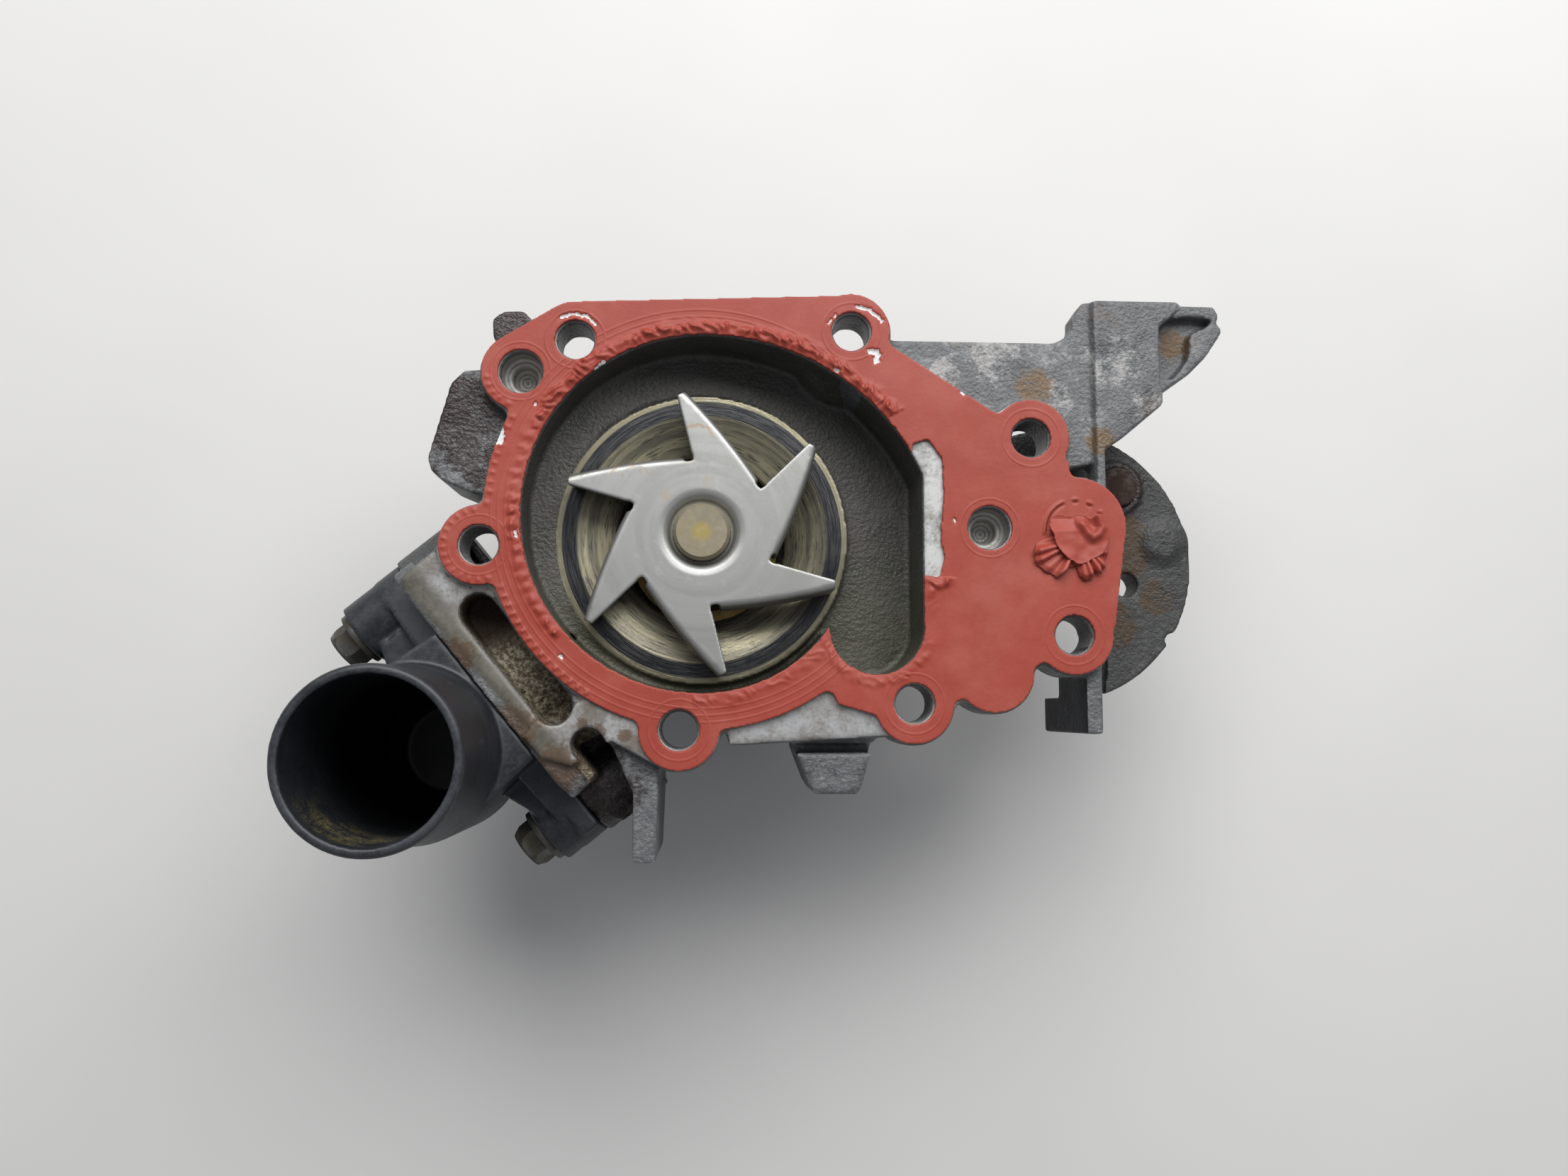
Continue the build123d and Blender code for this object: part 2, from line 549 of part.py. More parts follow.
def elbow_outer():
    """Flange, flat-topped body and the upright spigot, drawn where they stand."""
    flange = eared_plate(16.2, 7.0, ELBOW_BOLT_HALF)
    body = PORT_PLANE * extrude(flange, 6)
    for side, top in EARS.values():
        body += PORT_PLANE * Pos(side * ELBOW_BOLT_HALF, 0, top / 2) * Cylinder(6.8, top)
    axis_x, axis_y = port_xy(PORT_SHIFT, PORT_FACE + SPIGOT_REACH)
    neck = patch(port_xy(PORT_SHIFT - 15, PORT_FACE), port_xy(PORT_SHIFT + 15, PORT_FACE),
                 port_xy(PORT_SHIFT + 16.5, PORT_FACE + SPIGOT_REACH),
                 port_xy(PORT_SHIFT - 16.5, PORT_FACE + SPIGOT_REACH))
    body += prism(neck, PORT_Z - 15, ELBOW_FLAT)
    for side, top in EARS.values():
        web = patch(port_xy(side * 12, PORT_FACE), port_xy(side * 24, PORT_FACE),
                    port_xy(side * 24, PORT_FACE + top - 2), port_xy(side * 12, PORT_FACE + top + 2.5))
        body += prism(web, PORT_Z - 6, PORT_Z + 6)
    stop = patch(port_xy(23.3, 51), port_xy(31, 51), port_xy(31, 55), port_xy(23.3, 55), radius=0.6)
    body += prism(stop, -19, -13.6)
    body += Pos(axis_x, axis_y) * turned(
        (0, PORT_Z - 17), (11, PORT_Z - 17), (15.2, PORT_Z - 14), (17.1, PORT_Z - 9),
        (17.1, ELBOW_FLAT - 0.6), (16.8, ELBOW_FLAT + 0.4), (SPIGOT_R + 0.4, 2), (SPIGOT_R, 5),
        (SPIGOT_R, SPIGOT_TOP - 0.7), (SPIGOT_R - 0.6, SPIGOT_TOP), (0, SPIGOT_TOP))
    return body


def inlet_elbow():
    axis_x, axis_y = port_xy(PORT_SHIFT, PORT_FACE + SPIGOT_REACH)
    body = elbow_outer()
    body -= Pos(axis_x, axis_y) * turned(
        (0, PORT_Z - 14), (9, PORT_Z - 14), (12.8, PORT_Z - 10), (SPIGOT_BORE_R, PORT_Z - 5),
        (SPIGOT_BORE_R, SPIGOT_TOP + 1), (0, SPIGOT_TOP + 1))
    body -= PORT_PLANE * Pos(0, 0, 8) * Cylinder(PORT_R, 20)
    groove = Cylinder(14.6, 3.6) - Cylinder(12.4, 3.6)
    body -= PORT_PLANE * groove
    for side, top in EARS.values():
        body -= PORT_PLANE * Pos(side * ELBOW_BOLT_HALF, 0, top / 2) * Cylinder(4.4, top + 4)
    return body


def elbow_seal_ring():
    return PORT_PLANE * Pos(0, 0, 0.9) * Torus(13.5, 0.9)


def elbow_bush(side, top):
    height = top + 0.1
    tube = Cylinder(4.4, height) - Cylinder(3.25, height)
    return PORT_PLANE * Pos(side * ELBOW_BOLT_HALF, 0, height / 2) * tube


def elbow_bolt(side, top):
    """A flanged hexagon bolt, M6, with its head on the bush."""
    seat = top + 0.1
    reach = seat + 11.5
    shank = Pos(0, 0, seat - reach / 2) * Cylinder(2.95, reach)
    washer = Pos(0, 0, seat + 0.6) * Cylinder(5.7, 1.2)
    hexagon = Pos(0, 0, seat + 1.1) * extrude(RegularPolygon(4.62, 6), 4.3)
    head = hexagon & Pos(0, 0, seat + 0.9) * Cone(7.95, 3.9, 9.0)
    return PORT_PLANE * Pos(side * ELBOW_BOLT_HALF, 0, 0) * (shank + washer + head)


def tensioner_pin():
    """A steel peg pressed into the deep pad, proud on both sides."""
    return rod(*PEG_SPOT, PEG_R, -44, -22)


def build_all():
    nodes = {
        "pump_housing": pump_housing(),
        "gasket": gasket(),
        "impeller": impeller(),
        "shaft": shaft(),
        "bearing_outer_ring": bearing_outer_ring(),
        "front_bearing_seal": bearing_seal(BEARING_TOP - 0.4),
        "rear_bearing_seal": bearing_seal(BEARING_BOTTOM + 2.0),
        "shaft_slinger": shaft_slinger(),
        "seal_case": seal_case(),
        "seal_bellows": seal_bellows(),
        "seal_spring": seal_spring(),
        "carbon_ring": carbon_ring(),
        "seal_seat": seal_seat(),
        "seat_boot": seat_boot(),
        "drive_pulley": drive_pulley(),
        "pulley_flange": pulley_flange(),
        "inlet_elbow": inlet_elbow(),
        "elbow_seal_ring": elbow_seal_ring(),
        "tensioner_pin": tensioner_pin(),
    }
    for name, height in BALL_ROWS.items():
        nodes[f"{name}_ball_row"] = ball_row(height)
        nodes[f"{name}_ball_cage"] = ball_cage(height, 1 if name == "front" else -1)
    for name, (side, top) in EARS.items():
        nodes[f"{name}_elbow_bolt"] = elbow_bolt(side, top)
        nodes[f"{name}_elbow_bush"] = elbow_bush(side, top)
    return nodes


os.makedirs("parts", exist_ok=True)
for node, solid in build_all().items():
    export_step(solid, f"parts/{node}.step")
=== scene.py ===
# Water pump: cast, pressed and moulded surfaces over the fixed CAD frame
import bpy
import bmesh
import json
import math
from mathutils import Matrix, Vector, noise
from mathutils.kdtree import KDTree


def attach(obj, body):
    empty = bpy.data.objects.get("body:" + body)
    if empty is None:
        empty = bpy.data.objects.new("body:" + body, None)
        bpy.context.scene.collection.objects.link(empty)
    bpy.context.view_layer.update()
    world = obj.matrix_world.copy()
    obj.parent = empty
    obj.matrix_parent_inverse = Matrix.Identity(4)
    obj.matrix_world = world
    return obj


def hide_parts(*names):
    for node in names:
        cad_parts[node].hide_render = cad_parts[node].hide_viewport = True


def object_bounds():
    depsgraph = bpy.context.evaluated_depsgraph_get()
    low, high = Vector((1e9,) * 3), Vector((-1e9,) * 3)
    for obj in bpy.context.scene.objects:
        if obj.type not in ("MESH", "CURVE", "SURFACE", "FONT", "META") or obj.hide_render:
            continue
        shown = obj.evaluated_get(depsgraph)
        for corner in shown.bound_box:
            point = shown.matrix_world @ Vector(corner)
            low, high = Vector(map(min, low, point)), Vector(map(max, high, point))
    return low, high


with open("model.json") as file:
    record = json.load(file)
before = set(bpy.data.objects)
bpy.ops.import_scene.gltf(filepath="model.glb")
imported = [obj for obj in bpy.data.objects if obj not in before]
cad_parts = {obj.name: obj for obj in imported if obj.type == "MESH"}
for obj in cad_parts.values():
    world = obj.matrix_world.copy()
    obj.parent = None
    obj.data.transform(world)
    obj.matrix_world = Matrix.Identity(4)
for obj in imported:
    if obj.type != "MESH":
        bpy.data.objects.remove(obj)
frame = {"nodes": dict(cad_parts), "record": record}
cadLow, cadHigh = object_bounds()
nodes = frame["nodes"]
record = frame["record"]
mm = 0.001
weldGap = 0.002  # millimetres
volute = Vector((0.0, 3.4, 0.0))  # centre of the round wall, millimetres
print("frame loaded:", len(nodes), "nodes")


def deselectAll():
    if bpy.context.mode != "OBJECT":
        bpy.ops.object.mode_set(mode="OBJECT")
    bpy.ops.object.select_all(action="DESELECT")


def makeActive(piece):
    deselectAll()
    piece.select_set(True)
    bpy.context.view_layer.objects.active = piece


def applyModifier(piece, kind, **settings):
    makeActive(piece)
    modifier = piece.modifiers.new(kind.title(), kind)
    for key, value in settings.items():
        setattr(modifier, key, value)
    bpy.ops.object.modifier_apply(modifier=modifier.name)


def copyNode(node, name):
    # a merged copy of a CAD node, free to be reworked
    piece = nodes[node].copy()
    piece.data = nodes[node].data.copy()
    piece.name = name
    piece.data.name = name
    piece.parent = None
    bpy.context.scene.collection.objects.link(piece)
    makeActive(piece)
    bpy.ops.object.mode_set(mode="EDIT")
    bpy.ops.mesh.select_all(action="SELECT")
    bpy.ops.mesh.remove_doubles(threshold=weldGap * mm)
    bpy.ops.object.mode_set(mode="OBJECT")
    return piece


def softSkin(node, name, look):
    # remeshes a CAD shape finely and rounds its edges, as casting and moulding do
    piece = copyNode(node, name)
    applyModifier(piece, "REMESH", mode="VOXEL", voxel_size=look["voxel"] * mm)
    applyModifier(piece, "SMOOTH", factor=0.5, iterations=look["rounds"])
    count = len(piece.data.polygons) * 2
    if count > look["triangles"]:
        applyModifier(piece, "DECIMATE", ratio=look["triangles"] / count)
    bpy.ops.object.shade_smooth()
    print(name, "has", len(piece.data.polygons), "faces")
    return piece


edgeAngles = {"flat": 1.0, "broken": 32, "smooth": 35}  # degrees


def bevelledPiece(node, name, width):
    # a turned or forged piece keeps its shape and gets small broken edges
    piece = copyNode(node, name)
    bpy.ops.object.mode_set(mode="EDIT")
    bpy.ops.mesh.select_all(action="SELECT")
    bpy.ops.mesh.dissolve_limited(angle_limit=math.radians(edgeAngles["flat"]))
    bpy.ops.object.mode_set(mode="OBJECT")
    applyModifier(piece, "BEVEL", width=width * mm, segments=2, limit_method="ANGLE",
                  angle_limit=math.radians(edgeAngles["broken"]))
    applyModifier(piece, "TRIANGULATE")
    bpy.ops.object.shade_smooth_by_angle(angle=math.radians(edgeAngles["smooth"]))
    return piece


def finishPiece(piece, body, slotName, material, *stands):
    piece.data.materials.clear()
    piece.data.materials.append(material)
    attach(piece, body)
    if stands:
        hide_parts(*stands)


def addNode(tree, kind, settings=None, **inputs):
    node = tree.nodes.new(kind)
    for key, value in (settings or {}).items():
        setattr(node, key, value)
    for key, value in inputs.items():
        numbered = key[0] == "i" and key[1:].isdigit()  # i0 is the first socket
        plug = node.inputs[int(key[1:]) if numbered else key]
        if hasattr(value, "is_output"):
            tree.links.new(value, plug)
        else:
            plug.default_value = value
    return node


def calc(tree, operation, first, second=0.0, clamp=False):
    settings = {"operation": operation, "use_clamp": clamp}
    return addNode(tree, "ShaderNodeMath", settings, i0=first, i1=second).outputs[0]


def times(tree, *values):
    result = values[0]
    for value in values[1:]:
        result = calc(tree, "MULTIPLY", result, value)
    return result


def plus(tree, *values):
    result = values[0]
    for value in values[1:]:
        result = calc(tree, "ADD", result, value)
    return result


def mixColour(tree, factor, first, second, blend="MIX"):
    settings = {"data_type": "RGBA", "blend_type": blend}
    return addNode(tree, "ShaderNodeMix", settings, i0=factor, i6=first, i7=second).outputs[2]


def between(tree, value, low, high, outLow=0.0, outHigh=1.0):
    return addNode(tree, "ShaderNodeMapRange", {"interpolation_type": "SMOOTHSTEP"},
                   i0=value, i1=low, i2=high, i3=outLow, i4=outHigh).outputs[0]


def paintOver(tree, colour, *coats):
    # each coat is a mask and the colour that it lays over the ones before
    for mask, coat in coats:
        colour = mixColour(tree, mask, colour, coat)
    return colour


def highest(tree, *values):
    result = values[0]
    for value in values[1:]:
        result = calc(tree, "MAXIMUM", result, value)
    return result


def under(tree, value, limit):
    return calc(tree, "LESS_THAN", value, limit)


def newGroup(name, sockets):
    # sockets: (label, "in" or "out", "Float", "Color" or "Vector", start value)
    tree = bpy.data.node_groups.new(name, "ShaderNodeTree")
    for label, side, kind, value in sockets:
        socket = tree.interface.new_socket(label, in_out="INPUT" if side == "in" else "OUTPUT",
                                           socket_type="NodeSocket" + kind)
        if value is not None:
            socket.default_value = value
    start = tree.nodes.new("NodeGroupInput").outputs
    return tree, start, tree.nodes.new("NodeGroupOutput").inputs


def scaled(tree, vector, factor):
    return addNode(tree, "ShaderNodeVectorMath", {"operation": "SCALE"}, i0=vector,
                   i3=factor).outputs[0]


def axesOf(tree, vector):
    return addNode(tree, "ShaderNodeSeparateXYZ", None, Vector=vector).outputs


def facingOf(tree):
    return axesOf(tree, addNode(tree, "ShaderNodeTexCoord").outputs["Normal"])


def millimetres(tree):
    # object coordinates in millimetres
    coords = addNode(tree, "ShaderNodeTexCoord").outputs["Object"]
    return scaled(tree, coords, 1000.0)


def noiseAt(tree, place, scale, detail=4.0, roughness=0.55):
    return addNode(tree, "ShaderNodeTexNoise", None, Vector=place, Scale=scale, Detail=detail,
                   Roughness=roughness).outputs[0]


def distanceFrom(tree, place, centre):
    return addNode(tree, "ShaderNodeVectorMath", {"operation": "DISTANCE"}, i0=place,
                   i1=centre).outputs["Value"]


def fromAxis(tree, axes, spot):
    # how far from an upright line through a spot
    flat = addNode(tree, "ShaderNodeCombineXYZ", None, X=axes["X"], Y=axes["Y"]).outputs[0]
    return distanceFrom(tree, flat, (spot[0], spot[1], 0.0))


def insideOf(tree, axes, spans):
    # 1 inside the spans and 0 outside, where None leaves an end open
    sides = []
    for axis, (low, high) in spans.items():
        if low is not None:
            sides.append(calc(tree, "GREATER_THAN", axes[axis], low))
        if high is not None:
            sides.append(under(tree, axes[axis], high))
    return times(tree, *sides)


def mountSpot(name):
    # where the record puts a mount, in millimetres
    place = next(mount for mount in record["mounts"] if mount["name"] == name)["pos_m"]
    return [value * 1000 for value in place]


def makeCastGrain():
    # the orange-peel skin of a pressure casting
    tree, start, end = newGroup("castGrain", [("Grain", "in", "Float", 1.2),
                                              ("Height", "out", "Float", None),
                                              ("Flecks", "out", "Float", None)])
    place = millimetres(tree)
    fine = noiseAt(tree, place, start["Grain"], 2.0, 0.6)
    coarse = noiseAt(tree, place, calc(tree, "MULTIPLY", start["Grain"], 0.2), 2.0, 0.5)
    tree.links.new(plus(tree, times(tree, fine, 0.75), times(tree, coarse, 0.5)), end["Height"])
    specks = noiseAt(tree, place, calc(tree, "MULTIPLY", start["Grain"], 1.6), 2.0, 0.7)
    tree.links.new(between(tree, specks, 0.56, 0.70), end["Flecks"])
    return tree


def makeMottle():
    # weathered metal: clouds, patches and speckle in one value round one half
    tree, start, end = newGroup("mottle", [("Scale", "in", "Float", 1.0),
                                           ("Contrast", "in", "Float", 1.0),
                                           ("Tone", "out", "Float", None)])
    place = scaled(tree, millimetres(tree), start["Scale"])
    clouds = noiseAt(tree, place, 0.07, 5.0, 0.6)
    patches = noiseAt(tree, place, 0.32, 5.0, 0.7)
    speckle = noiseAt(tree, place, 1.5, 3.0, 0.7)
    total = plus(tree, times(tree, clouds, 0.4), times(tree, patches, 0.36),
                 times(tree, speckle, 0.24))
    swing = times(tree, calc(tree, "SUBTRACT", total, 0.5), 3.2, start["Contrast"])
    tree.links.new(calc(tree, "ADD", swing, 0.5, True), end["Tone"])
    return tree


def makeWearAndHollowShade():
    # bare metal on raised edges and painted shade in hollows, broken up by noise
    tree, start, end = newGroup("edgeWear", [("Amount", "in", "Float", 0.5),
                                             ("Break Up", "in", "Float", 0.9),
                                             ("Wear", "out", "Float", None),
                                             ("Hollows", "out", "Float", None)])
    point = addNode(tree, "ShaderNodeNewGeometry").outputs["Pointiness"]
    rough = noiseAt(tree, millimetres(tree), start["Break Up"], 4.0, 0.6)
    total = plus(tree, point, times(tree, calc(tree, "SUBTRACT", rough, 0.5), 0.07))
    wear = between(tree, total, 0.53, 0.60)
    tree.links.new(times(tree, wear, start["Amount"]), end["Wear"])
    # the hollow output darkens concave places: painted shade
    tree.links.new(between(tree, total, 0.48, 0.41), end["Hollows"])
    return tree


def makeGrime():
    # dirt or stain in large blotches with ragged borders
    tree, start, end = newGroup("grime", [("Size", "in", "Float", 0.08),
                                          ("Cover", "in", "Float", 0.5),
                                          ("Softness", "in", "Float", 0.1),
                                          ("Mask", "out", "Float", None)])
    value = noiseAt(tree, millimetres(tree), start["Size"], 6.0, 0.68)
    low = calc(tree, "SUBTRACT", start["Cover"], start["Softness"])
    high = calc(tree, "ADD", start["Cover"], start["Softness"])
    tree.links.new(between(tree, value, low, high), end["Mask"])
    return tree


def makeBlotch():
    # one ragged spot about a place, in millimetres
    tree, start, end = newGroup("blotch", [("Centre", "in", "Vector", None),
                                           ("Reach", "in", "Float", 5.0),
                                           ("Mask", "out", "Float", None)])
    place = millimetres(tree)
    border = noiseAt(tree, place, calc(tree, "DIVIDE", 3.0, start["Reach"]), 5.0, 0.75)
    ragged = times(tree, calc(tree, "SUBTRACT", border, 0.5), 2.2)
    away = distanceFrom(tree, place, start["Centre"])
    away = calc(tree, "ADD", calc(tree, "DIVIDE", away, start["Reach"]), ragged)
    tree.links.new(between(tree, away, 1.1, 0.75), end["Mask"])
    return tree


def makeTurnedBands():
    # rings about the shaft axis, as rubbing and turning leave them
    tree, start, end = newGroup("turnedBands", [("Pitch", "in", "Float", 1.0),
                                                ("Bands", "out", "Float", None),
                                                ("Radius", "out", "Float", None),
                                                ("Lines", "out", "Float", None)])
    kind = "ShaderNodeVectorMath"
    flat = addNode(tree, kind, {"operation": "MULTIPLY"}, i0=millimetres(tree),
                   i1=(1.0, 1.0, 0.0)).outputs[0]
    radius = addNode(tree, kind, {"operation": "LENGTH"}, i0=flat).outputs["Value"]
    heading = addNode(tree, kind, {"operation": "NORMALIZE"}, i0=flat).outputs[0]
    around = addNode(tree, "ShaderNodeCombineXYZ", None, Z=radius).outputs[0]
    for label, sweep, pitch in (("Bands", 1.1, 1.0), ("Lines", 1.5, 6.0)):
        place = addNode(tree, kind, {"operation": "MULTIPLY_ADD"}, i0=heading,
                        i1=(sweep, sweep, 0.0), i2=around).outputs[0]
        value = noiseAt(tree, place, times(tree, start["Pitch"], pitch), 4.0, 0.6)
        tree.links.new(value, end[label])
    tree.links.new(radius, end["Radius"])
    return tree


castGrain = makeCastGrain()
mottle = makeMottle()
edgeWear = makeWearAndHollowShade()
grime = makeGrime()
blotch = makeBlotch()
turnedBands = makeTurnedBands()


def useGroup(tree, group, **inputs):
    return addNode(tree, "ShaderNodeGroup", {"node_tree": group}, **inputs).outputs


def spotMask(tree, spots):
    # the union of several blotches: (x, y, z, reach) in millimetres
    return highest(tree, *[useGroup(tree, blotch, Centre=(x, y, z), Reach=reach)["Mask"]
                           for x, y, z, reach in spots])


def newMaterial(name, **fixed):
    material = bpy.data.materials.new(name)
    material.use_nodes = True
    tree = material.node_tree
    shader = tree.nodes["Principled BSDF"]
    for key, value in fixed.items():
        shader.inputs[key].default_value = value
    return material, tree, shader


def bumpInto(tree, shader, height, strength, distance):
    bump = addNode(tree, "ShaderNodeBump", None, Strength=strength, Distance=distance * mm,
                   Height=height)
    tree.links.new(bump.outputs[0], shader.inputs["Normal"])


def drive(tree, shader, socket, value):
    tree.links.new(value, shader.inputs[socket])


def tint(value, warm=0.0):
    return (value * (1 + warm), value, value * (1 - warm), 1.0)


def castAluminium():
    look = {
        "dark": tint(0.060, -0.02), "middle": tint(0.135, -0.03), "light": tint(0.30, 0.0),
        "bare": tint(0.46), "worn": tint(0.36, 0.03), "soot": (0.026, 0.023, 0.021, 1),
        "oil": (0.030, 0.019, 0.017, 1), "brown": (0.16, 0.095, 0.04, 1),
        "rust": (0.105, 0.058, 0.028, 1), "lowShade": (0.46, 0.45, 0.43, 1),
        "deepWall": (0.018, 0.020, 0.024, 1), "chamber": (0.058, 0.056, 0.048, 1),
        "olive": (0.064, 0.064, 0.038, 1), "film": tint(0.13, 0.05), "fleck": tint(0.17, 0.05),
        "scoreDark": (0.16, 0.148, 0.112, 1), "scoreLight": (0.33, 0.30, 0.205, 1),
        "scratch": (0.04, 0.04, 0.04, 1), "rubDark": (0.028, 0.029, 0.033, 1),
        "rubLight": (0.065, 0.065, 0.065, 1), "rubRim": (0.25, 0.23, 0.16, 1),
        "milled": tint(0.44, -0.02), "milledDull": (0.22, 0.20, 0.17, 1),
        "milledDirt": (0.12, 0.09, 0.06, 1), "chalkDull": (0.24, 0.23, 0.21, 1),
        "chalk": (0.55, 0.56, 0.54, 1), "bandDark": (0.075, 0.068, 0.052, 1),
        "bandLight": (0.20, 0.19, 0.16, 1), "sandDark": (0.075, 0.05, 0.028, 1),
        "sand": (0.33, 0.30, 0.22, 1), "slotHollow": (0.05, 0.032, 0.02, 1),
        "boreDark": (0.32, 0.31, 0.28, 1), "boreLight": (0.56, 0.56, 0.53, 1)}
    # ragged spots, each with its place and reach in millimetres
    # oil stains, and the spot at (-17, -48) is painted shade over the low boss there
    oilAndShadeSpots = [(-46, 22, -10, 13), (-38, 42, -8, 6.5), (-17, -48, -14, 12), (-19, -43, -6, 5.5),
            (90, 14, -24, 5.5), (66, 15, -9, 3.0), (80, 22, -20, 5)]
    dusty = [(97, 41, -10, 3.4), (90, 4, -24, 5), (88, -16, -25, 5), (92, -2, -24, 4),
             (79, 19, -4, 3), (-43, -15, -9, 3), (97, -10, -25, 4), (66, 30, -5, 4)]
    rusted = [(-27, -45, -2, 5), (-35, -38, -2, 5), (-19, -38, -1, 1.6), (-14, -38.8, -1, 1.4),
              (-22, -36.6, -1, 1.2), (-46, -24, -2, 4), (-30, -36, -1, 1.5)]
    worn = [(58, 36, -4, 5), (70, 28, -4, 4), (82, 36, -3, 6), (88, 26, -3, 4), (48, 33, -4, 3)]
    # spans along the axes in millimetres, and the radii that belong to them
    spans = {"deepWall": {"X": (70.0, None), "Y": (None, -22.0)}, "wetDepth": {"Z": (-18.5, -1.7)},
             "outlet": {"X": (10.0, 43.6), "Y": (-28.6, 27.0)}, "ringDepth": {"Z": (-14.4, -10.5)},
             "face": {"X": (None, 60.0), "Z": (-1.9, None)},
             "chalkStrip": {"X": (40.0, None), "Y": (-12.0, None)},
             "slot": {"X": (None, -20.0), "Y": (None, -8.0), "Z": (-11.0, -2.0)},
             "nearFace": {"Z": (-3.0, None)}, "bored": {"Z": (None, -2.5)}}
    radii = {"volute": 38.0, "ring": 28.9, "dowel": 4.4}
    padNormal = (-0.774, -0.633)  # outwards through the elbow's pad
    material, tree, shader = newMaterial("weatheredCasting", Metallic=0.25)
    place = millimetres(tree)
    axes, facing = axesOf(tree, place), facingOf(tree)
    grain = useGroup(tree, castGrain, Grain=1.3)
    tone = useGroup(tree, mottle, Scale=1.0, Contrast=1.0)["Tone"]
    wear = useGroup(tree, edgeWear, Amount=0.75)
    stain = useGroup(tree, grime, Size=0.06, Cover=0.62, Softness=0.05)["Mask"]
    oil = spotMask(tree, oilAndShadeSpots)
    # painted shade: the right-hand wall facing -X is painted near-black as if in shadow
    deepWall = times(tree, insideOf(tree, axes, spans["deepWall"]),
                     between(tree, facing["X"], -0.3, -0.7))
    colour = mixColour(tree, between(tree, tone, 0.05, 0.55), look["dark"], look["middle"])
    colour = paintOver(
        tree, colour,
        (between(tree, tone, 0.55, 0.98), look["light"]),
        (times(tree, spotMask(tree, worn), between(tree, tone, 0.35, 0.75)), look["worn"]),
        (times(tree, grain["Flecks"], 0.25), look["light"]),
        (times(tree, stain, 0.2), look["brown"]),
        (times(tree, spotMask(tree, dusty), between(tree, tone, 0.1, 0.6), 0.85), look["brown"]),
        (wear["Wear"], look["bare"]))
    colour = mixColour(tree, between(tree, axes["Z"], -7.0, -22.0), colour, look["lowShade"],
                       "MULTIPLY")
    colour = paintOver(
        tree, colour,
        (deepWall, look["deepWall"]),
        # dark spots: oil, and painted shade on the low boss
        (times(tree, oil, between(tree, tone, 1.3, 0.3)), look["oil"]),
        # painted shade: the hollows of the casting are darkened
        (times(tree, wear["Hollows"], 0.55), look["soot"]))
    # the volute and its outlet: dark, even and oily
    inVolute = under(tree, fromAxis(tree, axes, volute), radii["volute"])
    inside = times(tree, insideOf(tree, axes, spans["wetDepth"]),
                   highest(tree, inVolute, insideOf(tree, axes, spans["outlet"])))
    wet = mixColour(tree, between(tree, axes["Y"], 5.0, -25.0), look["chamber"], look["olive"])
    wet = paintOver(tree, wet, (between(tree, tone, 0.2, 1.0, 0.0, 0.5), look["film"]),
                    (times(tree, grain["Flecks"], 0.35), look["fleck"]))
    # the ring that the vanes run over
    bands = useGroup(tree, turnedBands, Pitch=0.55)
    radius, lines = bands["Radius"], bands["Lines"]
    ring = times(tree, under(tree, radius, radii["ring"]), insideOf(tree, axes, spans["ringDepth"]))
    rubbed = mixColour(tree, between(tree, lines, 0.4, 0.62), look["rubDark"], look["rubLight"])
    scored = mixColour(tree, between(tree, bands["Bands"], 0.36, 0.60), look["scoreDark"],
                       look["scoreLight"])
    # the light line round the ring's outer rim is a painted highlight
    scored = paintOver(tree, scored, (between(tree, lines, 0.55, 0.64, 0.0, 0.75), look["scratch"]),
                       (between(tree, radius, 24.6, 25.2), rubbed),
                       (between(tree, radius, 27.7, 27.95), look["rubRim"]))
    # the milled mating face, chalky on the right and dirty along the elbow's pad
    dirt = useGroup(tree, grime, Size=0.16, Cover=0.55, Softness=0.08)["Mask"]
    outward = plus(tree, times(tree, axes["X"], padNormal[0]), times(tree, axes["Y"], padNormal[1]))
    chalk = mixColour(tree, between(tree, tone, 0.2, 0.7), look["chalkDull"], look["chalk"])
    bandDirt = mixColour(tree, tone, look["bandDark"], look["bandLight"])
    milled = mixColour(tree, between(tree, tone, 0.1, 0.9), look["milledDull"], look["milled"])
    milled = paintOver(tree, milled, (times(tree, dirt, 0.7), look["milledDirt"]),
                       (insideOf(tree, axes, spans["chalkStrip"]), chalk),
                       (between(tree, outward, 44.5, 47.5), bandDirt))
    level = times(tree, insideOf(tree, axes, spans["face"]),
                  calc(tree, "GREATER_THAN", facing["Z"], 0.8), calc(tree, "SUBTRACT", 1.0, inside))
    # the slot beside the pad is crusted with sand
    inSlot = times(tree, between(tree, outward, 38.2, 38.8), between(tree, outward, 46.4, 45.8),
                   insideOf(tree, axes, spans["slot"]))
    crust = between(tree, noiseAt(tree, place, 1.1, 5.0, 0.75), 0.42, 0.62)
    sandy = mixColour(tree, crust, look["sandDark"], look["sand"])
    hollow = distanceFrom(tree, place, (-42.0, -16.0, -9.0))
    sandy = mixColour(tree, between(tree, hollow, 10.0, 4.0), sandy, look["slotHollow"])
    rust = times(tree, spotMask(tree, rusted), insideOf(tree, axes, spans["nearFace"]), 0.7)
    colour = paintOver(tree, colour, (inside, wet), (ring, scored), (level, milled),
                       (inSlot, sandy), (rust, look["rust"]))
